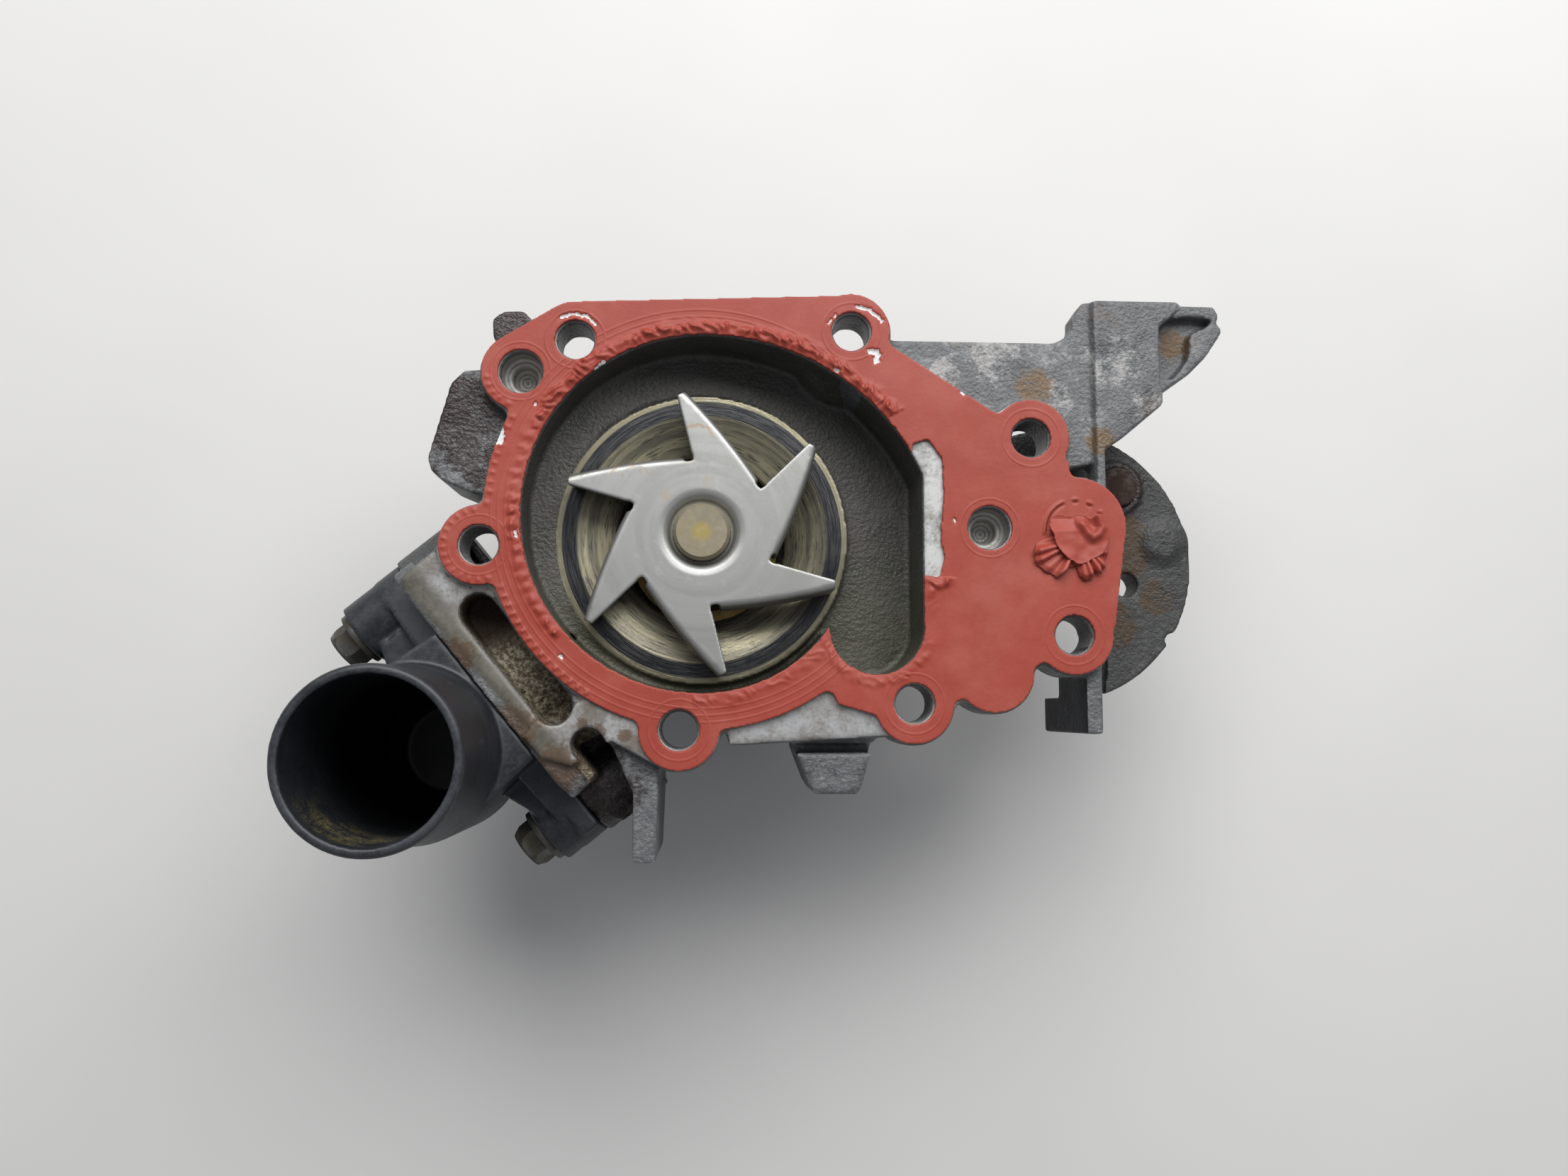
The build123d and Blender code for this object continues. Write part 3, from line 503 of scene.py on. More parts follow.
    # the two dowel holes are bored bright
    for dowel in ("dowel_left", "dowel_right"):
        gap = fromAxis(tree, axes, mountSpot(dowel))
        rings = between(tree, calc(tree, "FRACT", times(tree, gap, 1.3)), 0.3, 0.7)
        bored = times(tree, under(tree, gap, radii["dowel"]), insideOf(tree, axes, spans["bored"]))
        bright = mixColour(tree, rings, look["boreDark"], look["boreLight"])
        colour = mixColour(tree, bored, colour, bright)
    drive(tree, shader, "Base Color", colour)
    rough = between(tree, tone, 0.0, 1.0, 0.42, 0.60)
    rough = calc(tree, "SUBTRACT", rough, times(tree, ring, 0.16))
    drive(tree, shader, "Roughness", calc(tree, "SUBTRACT", rough, times(tree, oil, 0.14)))
    drive(tree, shader, "Metallic", calc(tree, "ADD", times(tree, ring, 0.6), 0.22))
    sand = times(tree, noiseAt(tree, place, 0.9, 4.0, 0.8), inSlot, 1.6)
    skin = times(tree, plus(tree, grain["Height"], sand),
                 calc(tree, "SUBTRACT", 1.0, highest(tree, ring, level)))
    bumpInto(tree, shader, plus(tree, skin, times(tree, lines, ring, 0.2)), 0.8, 0.45)
    return material


def redGasket():
    look = {"red": (0.39, 0.064, 0.040, 1), "deep": (0.30, 0.042, 0.026, 1),
            "chalk": (0.46, 0.13, 0.10, 1), "fold": (0.16, 0.02, 0.014, 1),
            "metal": tint(0.72, 0.01), "voluteLines": (37.2, 38.5, 39.8), "holeLine": 5.7,
            "lineHalf": 0.35, "lineCore": 0.05}
    holes = [mount["name"] for mount in record["mounts"]
             if mount["name"].startswith(("bolt", "dowel"))]
    material, tree, shader = newMaterial("redSealingSheet")
    shader.inputs["Specular IOR Level"].default_value = 0.4
    place = millimetres(tree)
    tone = useGroup(tree, mottle, Scale=0.6, Contrast=0.8)["Tone"]
    bare = addNode(tree, "ShaderNodeAttribute", {"attribute_name": "bare"}).outputs["Fac"]
    rubbed = useGroup(tree, grime, Size=0.05, Cover=0.56, Softness=0.12)["Mask"]
    wear = useGroup(tree, edgeWear, Amount=0.5)
    # fold darkens the hollows and folds of the sheet: painted shade
    colour = paintOver(tree, mixColour(tree, tone, look["deep"], look["red"]),
                       (times(tree, rubbed, 0.35), look["chalk"]), (wear["Wear"], look["chalk"]),
                       (times(tree, wear["Hollows"], 0.6), look["fold"]),
                       (between(tree, bare, 0.35, 0.65), look["metal"]))
    drive(tree, shader, "Base Color", colour)
    drive(tree, shader, "Roughness", between(tree, tone, 0.0, 1.0, 0.42, 0.58))
    # faint embossed lines: along the volute and round each hole
    axes = axesOf(tree, place)
    rings = [(volute, radius) for radius in look["voluteLines"]]
    rings += [(mountSpot(hole), look["holeLine"]) for hole in holes]
    lines = []
    for centre, radius in rings:
        gap = calc(tree, "ABSOLUTE", calc(tree, "SUBTRACT", fromAxis(tree, axes, centre), radius))
        lines.append(between(tree, gap, look["lineHalf"], look["lineCore"]))
    height = plus(tree, times(tree, highest(tree, *lines), 0.8),
                  times(tree, noiseAt(tree, place, 1.2, 4.0, 0.6), 0.5))
    bumpInto(tree, shader, height, 0.5, 0.12)
    return material


def pressedSteel():
    # stains are places with a reach, and arcs are rusty rings with a radius, in millimetres
    look = {"bright": (0.40, 0.405, 0.385, 1), "dull": (0.28, 0.28, 0.26, 1),
            "rust": (0.34, 0.20, 0.07, 1), "freckle": (0.1, 0.07, 0.04, 1),
            "stains": [(-2.6, 13.4, -2, 1.3), (1.5, 9.6, -2, 1.7), (-7, 7.2, -2, 1.4)],
            "arcs": [(-1.0, 17.8, 3.2), (-12.6, 9.6, 3.0), (-14.6, 10.0, 3.2)], "arcDepth": -2.5}
    material, tree, shader = newMaterial("pressedSteelSheet", Metallic=0.8)
    place = millimetres(tree)
    axes = axesOf(tree, place)
    tone = useGroup(tree, mottle, Scale=1.2, Contrast=0.8)["Tone"]
    wear = useGroup(tree, edgeWear, Amount=0.12)
    bands = useGroup(tree, turnedBands, Pitch=0.35)
    freckle = useGroup(tree, grime, Size=0.35, Cover=0.71, Softness=0.02)["Mask"]
    stain = times(tree, spotMask(tree, look["stains"]), 0.4)
    for x, y, radius in look["arcs"]:
        away = plus(tree, distanceFrom(tree, place, (x, y, look["arcDepth"])),
                    times(tree, noiseAt(tree, place, 0.8), 1.2))
        gap = calc(tree, "ABSOLUTE", calc(tree, "SUBTRACT", away, radius + 0.6))
        upperHalf = between(tree, axes["Y"], y + 0.6, y + 1.6)
        arc = times(tree, between(tree, gap, 0.42, 0.12), upperHalf, 0.7)
        stain = highest(tree, stain, arc)
    colour = paintOver(
        tree, mixColour(tree, tone, look["dull"], look["bright"]),
        (between(tree, bands["Bands"], 0.4, 0.6, 0.0, 0.25), tint(0.5)),
        (times(tree, stain, between(tree, tone, 0.3, 0.7), 0.8), look["rust"]),
        (times(tree, freckle, 0.6), look["freckle"]), (wear["Wear"], tint(0.6)))
    drive(tree, shader, "Base Color", colour)
    drive(tree, shader, "Roughness", plus(tree, between(tree, tone, 0.0, 1.0, 0.48, 0.38),
                                          times(tree, stain, 0.15)))
    height = plus(tree, times(tree, noiseAt(tree, place, 2.0, 3.0, 0.6), 0.5),
                  times(tree, bands["Lines"], 0.5))
    bumpInto(tree, shader, height, 0.15, 0.06)
    return material


def plainSteel(name, colour, rough, pitch, stainColour, stainCover, metal=0.85):
    material, tree, shader = newMaterial(name, Metallic=metal)
    place = millimetres(tree)
    bands = useGroup(tree, turnedBands, Pitch=pitch)
    tone = useGroup(tree, mottle, Scale=1.6, Contrast=0.8)["Tone"]
    wear = useGroup(tree, edgeWear, Amount=0.5)
    stain = useGroup(tree, grime, Size=0.3, Cover=stainCover, Softness=0.08)["Mask"]
    darker = [c * 0.6 for c in colour[:3]] + [1.0]
    rubbed = [min(1.0, c * 1.7) for c in colour[:3]] + [1.0]
    # the last coat darkens the hollows: painted shade
    finish = paintOver(
        tree, mixColour(tree, tone, darker, colour),
        (between(tree, bands["Bands"], 0.4, 0.6, 0.0, 0.35), darker),
        (times(tree, stain, 0.75), stainColour), (wear["Wear"], rubbed),
        (times(tree, wear["Hollows"], 0.5), (0.02, 0.018, 0.015, 1)))
    drive(tree, shader, "Base Color", finish)
    drive(tree, shader, "Roughness", between(tree, stain, 0.0, 1.0, rough, rough + 0.22))
    height = plus(tree, times(tree, bands["Lines"], 0.5), noiseAt(tree, place, 3.0))
    bumpInto(tree, shader, height, 0.2, 0.06)
    return material


def shaftSteel():
    # the end of the shaft: a dull skin of dried coolant with a yellow heart
    look = {"tan": (0.30, 0.245, 0.14, 1), "grey": (0.22, 0.205, 0.16, 1),
            "yellow": (0.36, 0.27, 0.06, 1)}
    material, tree, shader = newMaterial("groundShaftSteel", Metallic=0.45)
    bands = useGroup(tree, turnedBands, Pitch=0.8)
    tone = useGroup(tree, mottle, Scale=2.0, Contrast=0.8)["Tone"]
    wear = useGroup(tree, edgeWear, Amount=0.7)
    colour = paintOver(tree, mixColour(tree, tone, look["grey"], look["tan"]),
                       (between(tree, bands["Radius"], 2.6, 0.8, 0.0, 0.75), look["yellow"]),
                       (wear["Wear"], tint(0.42, 0.05)))
    drive(tree, shader, "Base Color", colour)
    drive(tree, shader, "Roughness", between(tree, tone, 0.0, 1.0, 0.38, 0.55))
    height = plus(tree, times(tree, bands["Lines"], 0.5), noiseAt(tree, millimetres(tree), 3.0))
    bumpInto(tree, shader, height, 0.15, 0.05)
    return material


def mouldedPlastic(name, colour, rough, dustAmount):
    material, tree, shader = newMaterial(name)
    place = millimetres(tree)
    tone = useGroup(tree, mottle, Scale=0.9, Contrast=0.9)["Tone"]
    wear = useGroup(tree, edgeWear, Amount=0.6)
    pale = [min(1.0, c * 2.2 + 0.03) for c in colour[:3]] + [1.0]
    dust = times(tree, between(tree, facingOf(tree)["Z"], 0.5, 0.95, 0.25, 1.0),
                 between(tree, tone, 0.2, 0.9), dustAmount)
    finish = paintOver(tree, colour, (dust, pale), (times(tree, wear["Wear"], 0.5), pale))
    drive(tree, shader, "Roughness", between(tree, tone, 0.0, 1.0, rough - 0.05, rough + 0.12))
    bumpInto(tree, shader, noiseAt(tree, place, 3.0, 3.0, 0.6), 0.25, 0.06)
    return material, tree, shader, finish


def simplePlastic(name, colour, rough, dustAmount=0.5):
    material, tree, shader, finish = mouldedPlastic(name, colour, rough, dustAmount)
    drive(tree, shader, "Base Color", finish)
    return material


def elbowPlastic():
    # blue-black plastic, with a yellow crust low inside the spigot and painted shade deep in its
    # bore
    look = {"base": (0.0145, 0.0165, 0.0205, 1), "rough": 0.40, "dust": 0.75,
            "crust": (0.15, 0.125, 0.055, 1), "deepBore": (0.004, 0.004, 0.005, 1),
            "boreRadius": 14.75, "crustAside": (-5.0, -14.0)}
    material, tree, shader, finish = mouldedPlastic("elbowMoulding", look["base"], look["rough"],
                                                    look["dust"])
    place = millimetres(tree)
    axes = axesOf(tree, place)
    spigot = mountSpot("hose_spigot")
    lowSpot = [spigot[0] + look["crustAside"][0], spigot[1] + look["crustAside"][1]]
    bore = under(tree, fromAxis(tree, axes, spigot), look["boreRadius"])
    lowSide = between(tree, fromAxis(tree, axes, lowSpot), 13.0, 4.0)
    depth = times(tree, between(tree, axes["Z"], 3.0, 12.0), between(tree, axes["Z"], 24.0, 21.0))
    crust = times(tree, useGroup(tree, grime, Size=0.22, Cover=0.50, Softness=0.10)["Mask"],
                  between(tree, noiseAt(tree, place, 2.2, 3.0, 0.7), 0.40, 0.60))
    # the bore is painted darker further down: painted shade
    finish = paintOver(
        tree, finish, (times(tree, bore, lowSide, depth, crust), look["crust"]),
        (times(tree, bore, between(tree, axes["Z"], 5.0, -8.0), 0.8), look["deepBore"]))
    drive(tree, shader, "Base Color", finish)
    return material


# steels: colour, roughness, pitch of the turned bands, stain, how little it covers, metallic
steels = {
    "bearing_steel": ("bearingSteel", tint(0.6), 0.18, 2.0, (0.3, 0.28, 0.25, 1), 0.7),
    "zinc_steel": ("zincSteel", (0.115, 0.115, 0.105, 1), 0.45, 0.8, (0.08, 0.065, 0.04, 1), 0.5,
                   0.6),
    "rusty_steel": ("rustySteel", (0.085, 0.06, 0.05, 1), 0.6, 0.8, (0.05, 0.02, 0.012, 1), 0.48,
                    0.3),
    "sintered_steel": ("sinteredSteel", tint(0.17), 0.45, 0.6, (0.07, 0.055, 0.045, 1), 0.55),
    "brass_cup": ("drawnBrass", (0.55, 0.38, 0.14, 1), 0.35, 0.7, (0.3, 0.2, 0.08, 1), 0.6)}
# plastics: colour, roughness
plastics = {
    "cage_plastic": ("cageMoulding", (0.25, 0.15, 0.06, 1), 0.5),
    "black_rubber": ("blackRubber", (0.016, 0.016, 0.016, 1), 0.6),
    "carbon": ("lappedCarbon", (0.03, 0.03, 0.032, 1), 0.3),
    "ceramic": ("lappedCeramic", (0.62, 0.60, 0.54, 1), 0.2)}
finishes = {"cast_aluminium": castAluminium(), "red_gasket": redGasket(),
            "pressed_steel": pressedSteel(), "ground_steel": shaftSteel(),
            "black_plastic": elbowPlastic()}
finishes.update({slot: plainSteel(*values) for slot, values in steels.items()})
finishes.update({slot: simplePlastic(*values) for slot, values in plastics.items()})
print("materials made")

slotOf = {part["node"]: part["material_slot"] for part in record["subparts"]}
for nodeName, nodeObject in nodes.items():
    for place in nodeObject.material_slots:
        place.link = "OBJECT"
        place.material = finishes[slotOf[nodeName]]


def replaceNode(node, piece):
    bodies = record["behaviour"]["bodies"]
    body = next(name for name, members in bodies.items() if node in members)
    finishPiece(piece, body, slotOf[node], finishes[slotOf[node]], node)


softLooks = {
    "pump_housing": {"name": "castHousing", "voxel": 0.5, "rounds": 4, "triangles": 190000},
    "impeller": {"name": "pressedImpeller", "voxel": 0.22, "rounds": 3, "triangles": 140000},
    "inlet_elbow": {"name": "mouldedElbow", "voxel": 0.42, "rounds": 4, "triangles": 130000}}
for nodeName, softLook in softLooks.items():
    replaceNode(nodeName, softSkin(nodeName, softLook["name"], softLook))

edgeWidths = {"upper_elbow_bolt": 0.3, "lower_elbow_bolt": 0.3, "tensioner_pin": 0.5,
              "drive_pulley": 0.25, "pulley_flange": 0.2}  # millimetres
for nodeName, width in edgeWidths.items():
    pieceName = nodeName.title().replace("_", "")
    replaceNode(nodeName, bevelledPiece(nodeName, pieceName, width))
print("hard pieces done")


# the gasket: a rubbery sheet whose inner rim has wrinkled
gasketLook = {"voxel": 0.27, "rounds": 2, "triangles": 185000, "rimStep": 0.2, "topFrom": -0.45,
              "beadHeight": 1.05, "beadCentre": 1.5, "beadWidth": 0.95, "beadReach": 4.5,
              "chipDepth": 0.45, "waver": 0.05, "rimPull": 0.35, "pullReach": 2.0,
              "tickHeight": 0.4, "tickPitch": 1.9, "tickReach": 2.2,
              "creaseCentre": (72.3, 0.4), "creaseRadius": 5.9}
# where the bead is wrinkled: strength, how crinkled it is, and the period of its waves
folds = {"left": (0.75, 0.35, 2.4), "top": (0.85, 0.9, 2.9), "outlet": (0.7, 0.6, 3.2),
         "bottom": (0.35, 0.8, 3.4)}
# scraped places where the metal shows: half width, then points along the scratch
chips = [(0.42, [(-27.5, 41.1), (-25.2, 41.9), (-22.5, 41.6), (-20.7, 40.0)]),
         (0.45, [(29.9, 44.4), (31.9, 44.0), (33.7, 42.9), (34.8, 41.6)]),
         (0.3, [(24.4, 40.9), (25.6, 42.4)]), (0.7, [(32.5, 35.5), (33.9, 35.2), (33.8, 33.6)]),
         (0.85, [(-38.3, 19.0), (-38.4, 16.8)]), (0.7, [(-20.3, 31.2), (-18.8, 32.2)]),
         (0.45, [(25.6, 31.9), (26.2, 31.4)]), (0.35, [(50.4, 27.6), (51.0, 27.2)]),
         (0.3, [(48.7, 2.4), (48.9, 1.6)]), (0.4, [(-26.3, -24.0), (-25.9, -24.5)]),
         (0.4, [(-35.0, -0.4), (-34.9, -1.3)]), (0.3, [(-31.8, 24.4), (-31.9, 23.9)])]
chipReach = 9  # a scratch is never felt further off than this


def clamped(value):
    return min(1.0, max(0.0, value))


def gapToStretch(here, start, end):
    # how far a flat point is from the straight stretch between two others
    start, end = Vector(start), Vector(end)
    along = clamped((here - start).dot(end - start) / (end - start).length_squared)
    return (here - start.lerp(end, along)).length


def chipAt(x, y):
    # 1 where the sheet has been scraped away and 0 elsewhere
    here, best = Vector((x, y)), -1.0
    ragged = 0.45 * noise.noise(Vector((x, y, 0)) * 1.6)
    for half, path in chips:
        if max(abs(path[0][0] - x), abs(path[0][1] - y)) > chipReach:
            continue
        for start, end in zip(path, path[1:]):
            best = max(best, (half - gapToStretch(here, start, end) + ragged) / 0.25)
    return clamped(best)


def rimPoints(piece, level):
    # the closed rims of a flat sheet's top face, as lists of points
    mesh = bmesh.new()
    mesh.from_mesh(piece.data)
    rims = {}
    for edge in mesh.edges:
        tops = [abs(face.normal.z) > 0.9 for face in edge.link_faces]
        atLevel = all(abs(vertex.co.z - level) < 0.01 * mm for vertex in edge.verts)
        if len(tops) == 2 and tops[0] != tops[1] and atLevel:
            a, b = edge.verts
            rims.setdefault(a.index, []).append(b.index)
            rims.setdefault(b.index, []).append(a.index)
    mesh.verts.ensure_lookup_table()
    loops = []
    while rims:
        here = next(iter(rims))
        loop = []
        while here in rims:
            loop.append(mesh.verts[here].co.copy())
            onward = [n for n in rims.pop(here) if n in rims]
            here = onward[0] if onward else -1
        loops.append(loop)
    mesh.free()
    return loops


def rimTree(loop, step):
    # closely spaced points along a rim, each with its distance round it
    spots, run = [], 0.0
    for a, b in zip(loop, loop[1:] + loop[:1]):
        length = (b - a).length
        count = max(1, int(length / step))
        spots += [(a.lerp(b, i / count), run + length * i / count) for i in range(count)]
        run += length
    tree = KDTree(len(spots))
    for i, spot in enumerate(spots):
        tree.insert(spot[0], i)
    tree.balance()
    return tree, [spot[1] for spot in spots]


def makeGasket():
    piece = copyNode("gasket", "wrinkledGasket")
    loops = sorted(rimPoints(piece, 0.0), reverse=True,
                   key=lambda loop: max(p.x for p in loop) - min(p.x for p in loop))
    outerTree, outerRun = rimTree(loops[0], gasketLook["rimStep"] * mm)
    innerTree, innerRun = rimTree(loops[1], gasketLook["rimStep"] * mm)
    applyModifier(piece, "REMESH", mode="VOXEL", voxel_size=gasketLook["voxel"] * mm)
    applyModifier(piece, "SMOOTH", factor=0.4, iterations=gasketLook["rounds"])
    for vertex in piece.data.vertices:
        x, y, z = vertex.co / mm
        flat = Vector((vertex.co.x, vertex.co.y, 0.0))
        innerPlace, innerAt, innerGap = innerTree.find(flat)
        outerAt, outerGap = outerTree.find(flat)[1:]
        d, along = innerGap / mm, innerRun[innerAt] / mm
        angle = math.degrees(math.atan2(y - volute.y, x)) % 360
        if z > gasketLook["topFrom"]:
            lift = rimBead(d, along, angle, x, y) + lobeCrease(x, y)
            lift += outerTicks(outerGap / mm, outerRun[outerAt] / mm, x, y)
            chip = chipAt(x, y)
            lift = lift * (1 - chip) - gasketLook["chipDepth"] * chip
            waver = gasketLook["waver"] * noise.noise(Vector((x, y, 3)) * 0.25)
            vertex.co.z += (lift + waver) * mm
        push = flat - innerPlace
        if d < gasketLook["pullReach"] and push.length > 1e-6:
            pull = gasketLook["rimPull"] * noise.noise(Vector((along * 0.6, 0, 5)))
            pull *= 1 - d / gasketLook["pullReach"]
            vertex.co += push.normalized() * pull * mm
    count = 2 * len(piece.data.polygons)
    applyModifier(piece, "DECIMATE", ratio=min(1.0, gasketLook["triangles"] / count))
    bare = piece.data.attributes.new("bare", "FLOAT", "POINT")
    for vertex in piece.data.vertices:
        bare.data[vertex.index].value = chipAt(vertex.co.x / mm, vertex.co.y / mm)
    bpy.ops.object.shade_smooth()
    print("gasket has", len(piece.data.polygons), "faces")
    return piece


def rimBead(d, along, angle, x, y):
    # height of the wrinkled bead beside the volute's rim; angles are degrees round the volute
    if d > gasketLook["beadReach"]:
        return 0.0
    if 150 < angle < 222:
        side = "left"
    elif 28 < angle <= 150:
        side = "top"
    elif (angle > 325 or angle < 5) and y < -9:
        side = "outlet"
    elif 268 < angle <= 325:
        side = "bottom"
    else:
        return 0.0
    strength, crinkle, period = folds[side]
    rough = noise.noise(Vector((x, y, 0)) * 0.9)
    wild = noise.noise(Vector((x, y, 7)) * 0.35)
    centre = gasketLook["beadCentre"] + 0.7 * wild * crinkle
    width = gasketLook["beadWidth"] * (1 + 0.5 * wild)
    profile = math.exp(-((d - centre) / width) ** 2)
    wave = 0.5 + 0.5 * math.sin(2 * math.pi * (along / period) + 3.0 * wild * crinkle)
    fold = abs(math.sin(2 * math.pi * (along / (period * 1.7)) + 4 * wild + 1.2 * d))
    shape = (1 - crinkle) * wave + crinkle * (0.7 * (1 - fold) ** 1.5 * 1.6 + 0.3 * wave)
    presence = clamped(0.75 + 1.1 * noise.noise(Vector((along * 0.05, 2, 1))))
    height = gasketLook["beadHeight"] * strength * presence * profile
    return height * (0.25 + shape + 0.35 * rough)


def outerTicks(d, along, x, y):
    # small regular scallops just inside the outer rim, on the left of the sheet
    if x >= -20 or not -38 < y < 30 or d > gasketLook["tickReach"]:
        return 0.0
    wave = max(0.0, math.sin(2 * math.pi * along / gasketLook["tickPitch"]))
    presence = 1.0 if y < -12 else 0.6
    return gasketLook["tickHeight"] * presence * wave * math.exp(-((d - 1.0) / 0.5) ** 2)


def lobeCrease(x, y):
    # a broken circular cut, open at its lower side, round the lifted skin on the round lobe
    dx, dy = x - gasketLook["creaseCentre"][0], y - gasketLook["creaseCentre"][1]
    turn = math.degrees(math.atan2(dy, dx)) % 360
    if not 35 < turn < 185:
        return 0.0
    gap = math.hypot(dx, dy) - gasketLook["creaseRadius"]
    dash = 1.0 if turn > 115 else max(0.0, math.sin(math.radians(turn) * 13))
    ridge, groove = math.exp(-((gap - 0.3) / 0.22) ** 2), math.exp(-((gap + 0.25) / 0.25) ** 2)
    return dash * (0.45 * ridge - 0.3 * groove)


replaceNode("gasket", makeGasket())

# the coating has lifted on the round lobe: a ruffled layer with a smoother skin on top
# a rim is a list of turns in degrees with the radius there, and a ruffle is turn, width and lift
liftedLook = {"centre": (72.7, -1.4), "cuts": 120, "span": 20.0, "thick": 0.3, "rounds": 3,
              "skinRim": [(4, 5.7), (28, 6.2), (54, 6.0), (64, 4.7), (78, 5.0), (106, 5.1),
                          (140, 7.0), (152, 6.7), (177, 5.2), (215, 4.7), (250, 4.7), (264, 5.0),
                          (299, 4.6), (335, 5.3), (364, 5.7)],
              "skinBase": 1.15, "ridgeHeight": 1.0, "ridgeWidth": 0.75,
              "ridge": [(-1.5, 4.4), (0.4, 2.7), (1.6, 1.1), (2.5, 0.3), (3.4, 1.0), (4.2, 2.3),
                        (3.3, 4.6)],
              "ruffleRim": [(170, 5.0), (187, 8.6), (197, 9.3), (208, 9.7), (220, 9.3), (231, 8.7),
                            (238, 8.7), (244, 7.4), (250, 5.8), (262, 5.1), (271, 7.3), (278, 8.0),
                            (288, 7.8), (294, 6.8), (301, 8.0), (306, 7.1), (312, 7.5), (318, 6.5),
                            (335, 6.2), (350, 5.2), (530, 5.0)],
              "ruffleBase": 0.3,
              "ruffles": [(196, 5, 1.3), (207, 4, 1.1), (222, 6, 0.5), (241, 5, 1.4),
                          (277, 6, 0.9), (287, 4, 1.3), (302, 5, 1.2), (313, 4, 1.0),
                          (334, 6, 0.8)]}


def rimAt(table, turn):
    if turn < table[0][0]:
        turn += 360
    for (a, first), (b, second) in zip(table, table[1:]):
        if turn <= b:
            part = (turn - a) / (b - a)
            return first + (second - first) * part * part * (3 - 2 * part)
    return table[-1][1]


def skinHeight(x, y, part):
    # part is 0 at the middle and 1 at the rim
    ridge = liftedLook["ridge"]
    near = min(gapToStretch(Vector((x, y)), start, end) for start, end in zip(ridge, ridge[1:]))
    height = liftedLook["skinBase"]
    height += liftedLook["ridgeHeight"] * math.exp(-(near / liftedLook["ridgeWidth"]) ** 2)
    height += 0.45 / (1 + math.exp((x + 0.9) * 2.2)) + 0.2 * noise.noise(Vector((x, y, 4)) * 0.5)
    upper = clamped((y - 1.5) / 2.5) * clamped((0.5 - x) / 1.5)
    return height * (1 - 0.75 * upper) + 0.25 * part ** 6


def ruffleHeight(x, y, part):
    turn = math.degrees(math.atan2(y, x)) % 360
    height = liftedLook["ruffleBase"]
    for centre, width, lift in liftedLook["ruffles"]:
        height += lift * math.exp(-((turn - centre) / width) ** 2)
    height *= 0.45 + 0.9 * part
    return height * (1.0 - 0.7 * max(0.0, part - 0.88) / 0.12)


def makeLifted(name, rim, heightAt):
    cuts = liftedLook["cuts"]
    bpy.ops.mesh.primitive_grid_add(x_subdivisions=cuts, y_subdivisions=cuts,
                                    size=liftedLook["span"] * mm)
    piece = bpy.context.object
    piece.name = piece.data.name = name
    mesh = bmesh.new()
    mesh.from_mesh(piece.data)
    strays = []
    for vertex in mesh.verts:
        x, y = vertex.co.x / mm, vertex.co.y / mm
        part = math.hypot(x, y) / rimAt(rim, math.degrees(math.atan2(y, x)) % 360)
        if part > 1.0:
            strays.append(vertex)
        vertex.co.z = max(0.1, heightAt(x, y, part)) * mm
    bmesh.ops.delete(mesh, geom=strays, context="VERTS")
    for vertex in mesh.verts:
        vertex.co += Vector((*liftedLook["centre"], 0.0)) * mm
    mesh.to_mesh(piece.data)
    mesh.free()
    applyModifier(piece, "SMOOTH", factor=0.5, iterations=liftedLook["rounds"])
    applyModifier(piece, "SOLIDIFY", thickness=liftedLook["thick"] * mm, offset=0.0)
    bpy.ops.object.shade_smooth()
    piece.location = (0.0, 0.0, 0.0)
    finishPiece(piece, "housing", "red_gasket", finishes["red_gasket"])


makeLifted("liftedRuffle", liftedLook["ruffleRim"], ruffleHeight)
makeLifted("liftedSkin", liftedLook["skinRim"], skinHeight)
print("gasket done")

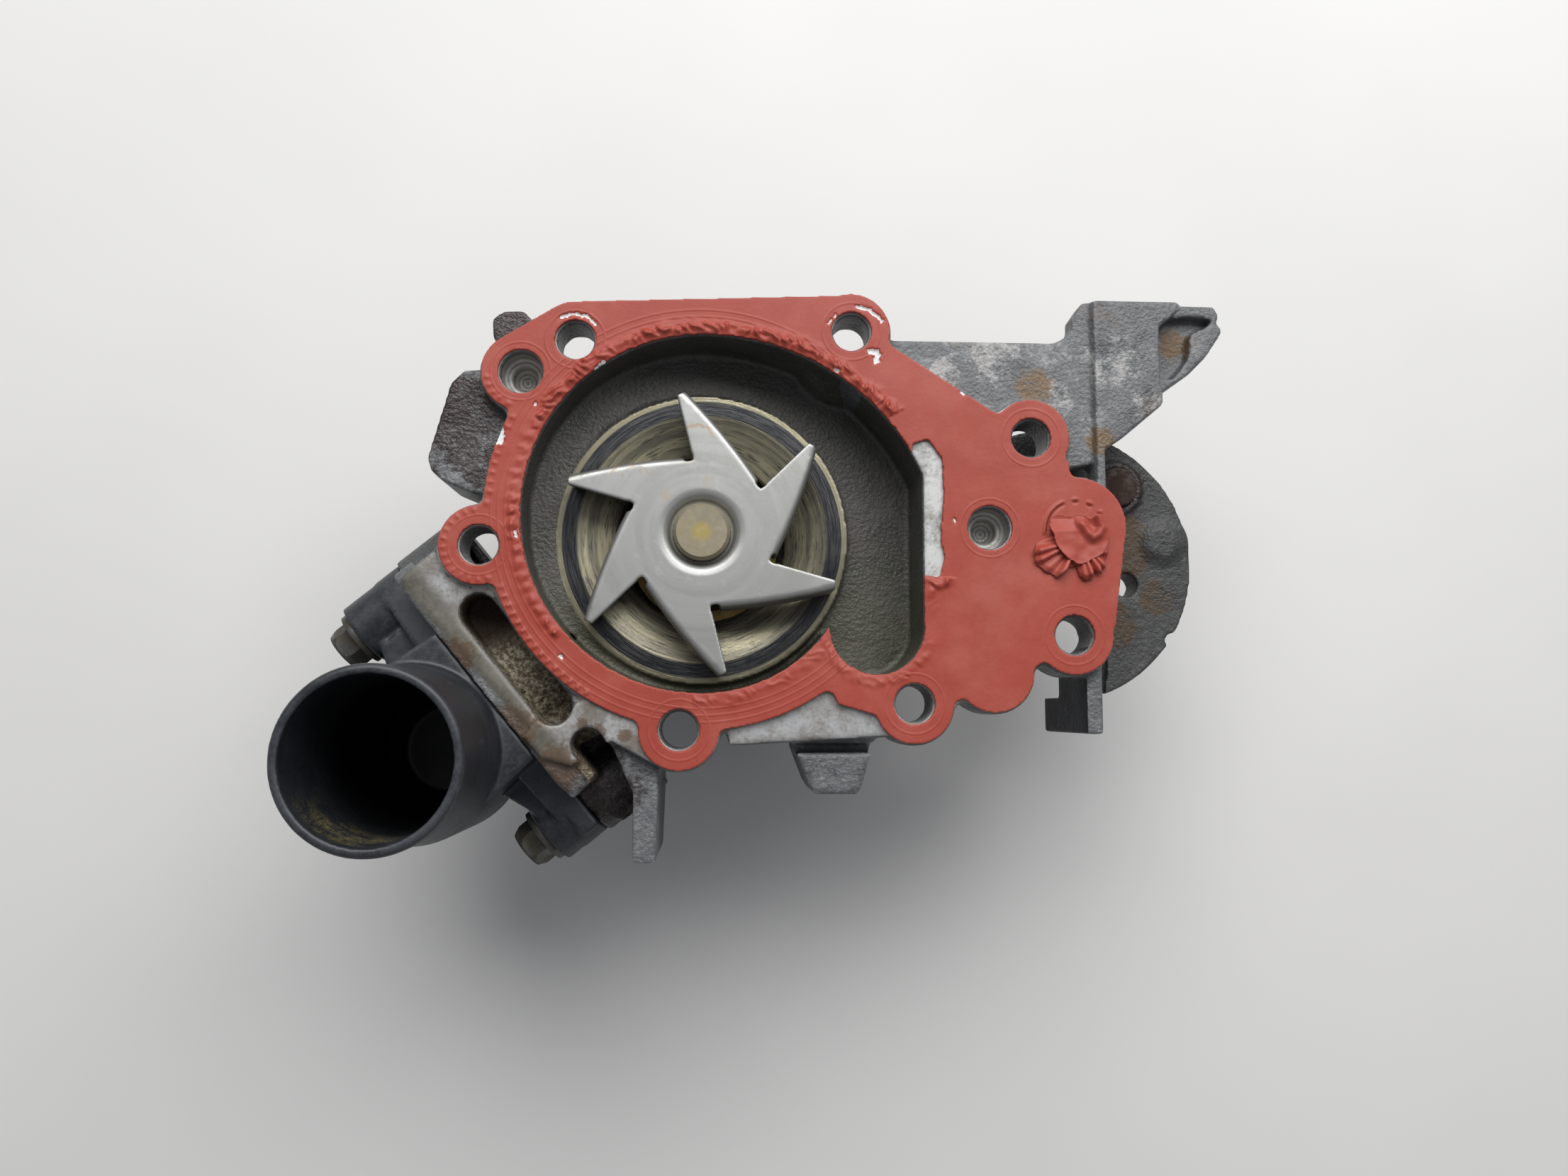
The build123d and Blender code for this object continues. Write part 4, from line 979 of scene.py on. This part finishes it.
# floor, light and camera
stageLook = {"floor": (0.72, 0.71, 0.69, 1), "floorDim": 0.96, "floorSpan": 4.0,
             "fill": (0.90, 0.93, 1.0, 1), "fillStrength": 0.26, "keyPower": 11.4,
             "keySize": (1.2, 0.6), "keyPlace": (0.09, 0.56, 0.62), "keyAim": (0.01, 0.02, 0.0)}
bpy.ops.mesh.primitive_plane_add(size=stageLook["floorSpan"], location=(0, 0, cadLow.z))
floor = bpy.context.object
floor.name = "paleFloor"
floorPaint, floorTree, floorShader = newMaterial("paleTable", Roughness=0.6)
floorPlace = millimetres(floorTree)
floorCloud = between(floorTree, noiseAt(floorTree, floorPlace, 0.01, 3.0, 0.5), 0.3, 0.7)
dimFloor = [c * stageLook["floorDim"] for c in stageLook["floor"][:3]] + [1.0]
drive(floorTree, floorShader, "Base Color",
      mixColour(floorTree, floorCloud, dimFloor, stageLook["floor"]))
bumpInto(floorTree, floorShader, noiseAt(floorTree, floorPlace, 0.8, 4.0, 0.6), 0.1, 0.1)
floor.data.materials.append(floorPaint)

sky = bpy.data.worlds.new("softRoom")
sky.use_nodes = True
background = sky.node_tree.nodes["Background"]
background.inputs["Color"].default_value = stageLook["fill"]
background.inputs["Strength"].default_value = stageLook["fillStrength"]
bpy.context.scene.world = sky

lamp = bpy.data.lights.new("softPanel", "AREA")
lamp.shape = "RECTANGLE"
lamp.energy = stageLook["keyPower"]
lamp.size, lamp.size_y = stageLook["keySize"]
lampObject = bpy.data.objects.new("softPanel", lamp)
lampObject.location = stageLook["keyPlace"]
lampHeading = Vector(stageLook["keyAim"]) - lampObject.location
lampObject.rotation_euler = lampHeading.to_track_quat("-Z", "Y").to_euler()
bpy.context.scene.collection.objects.link(lampObject)

cameraLook = {"lens": 27.03, "sensor": 36.0, "nearest": 0.005,
              "place": (4.01 * mm, -34.24 * mm, 222.16 * mm), "turn": (5.963, -3.016, 0.0)}
cameraData = bpy.data.cameras.new("benchCamera")
cameraData.lens = cameraLook["lens"]
cameraData.sensor_width = cameraLook["sensor"]
cameraData.clip_start = cameraLook["nearest"]
camera = bpy.data.objects.new("benchCamera", cameraData)
camera.location = cameraLook["place"]
camera.rotation_euler = [math.radians(angle) for angle in cameraLook["turn"]]
bpy.context.scene.collection.objects.link(camera)
bpy.context.scene.camera = camera
bpy.context.scene.view_settings.view_transform = "Standard"
print("stage set")
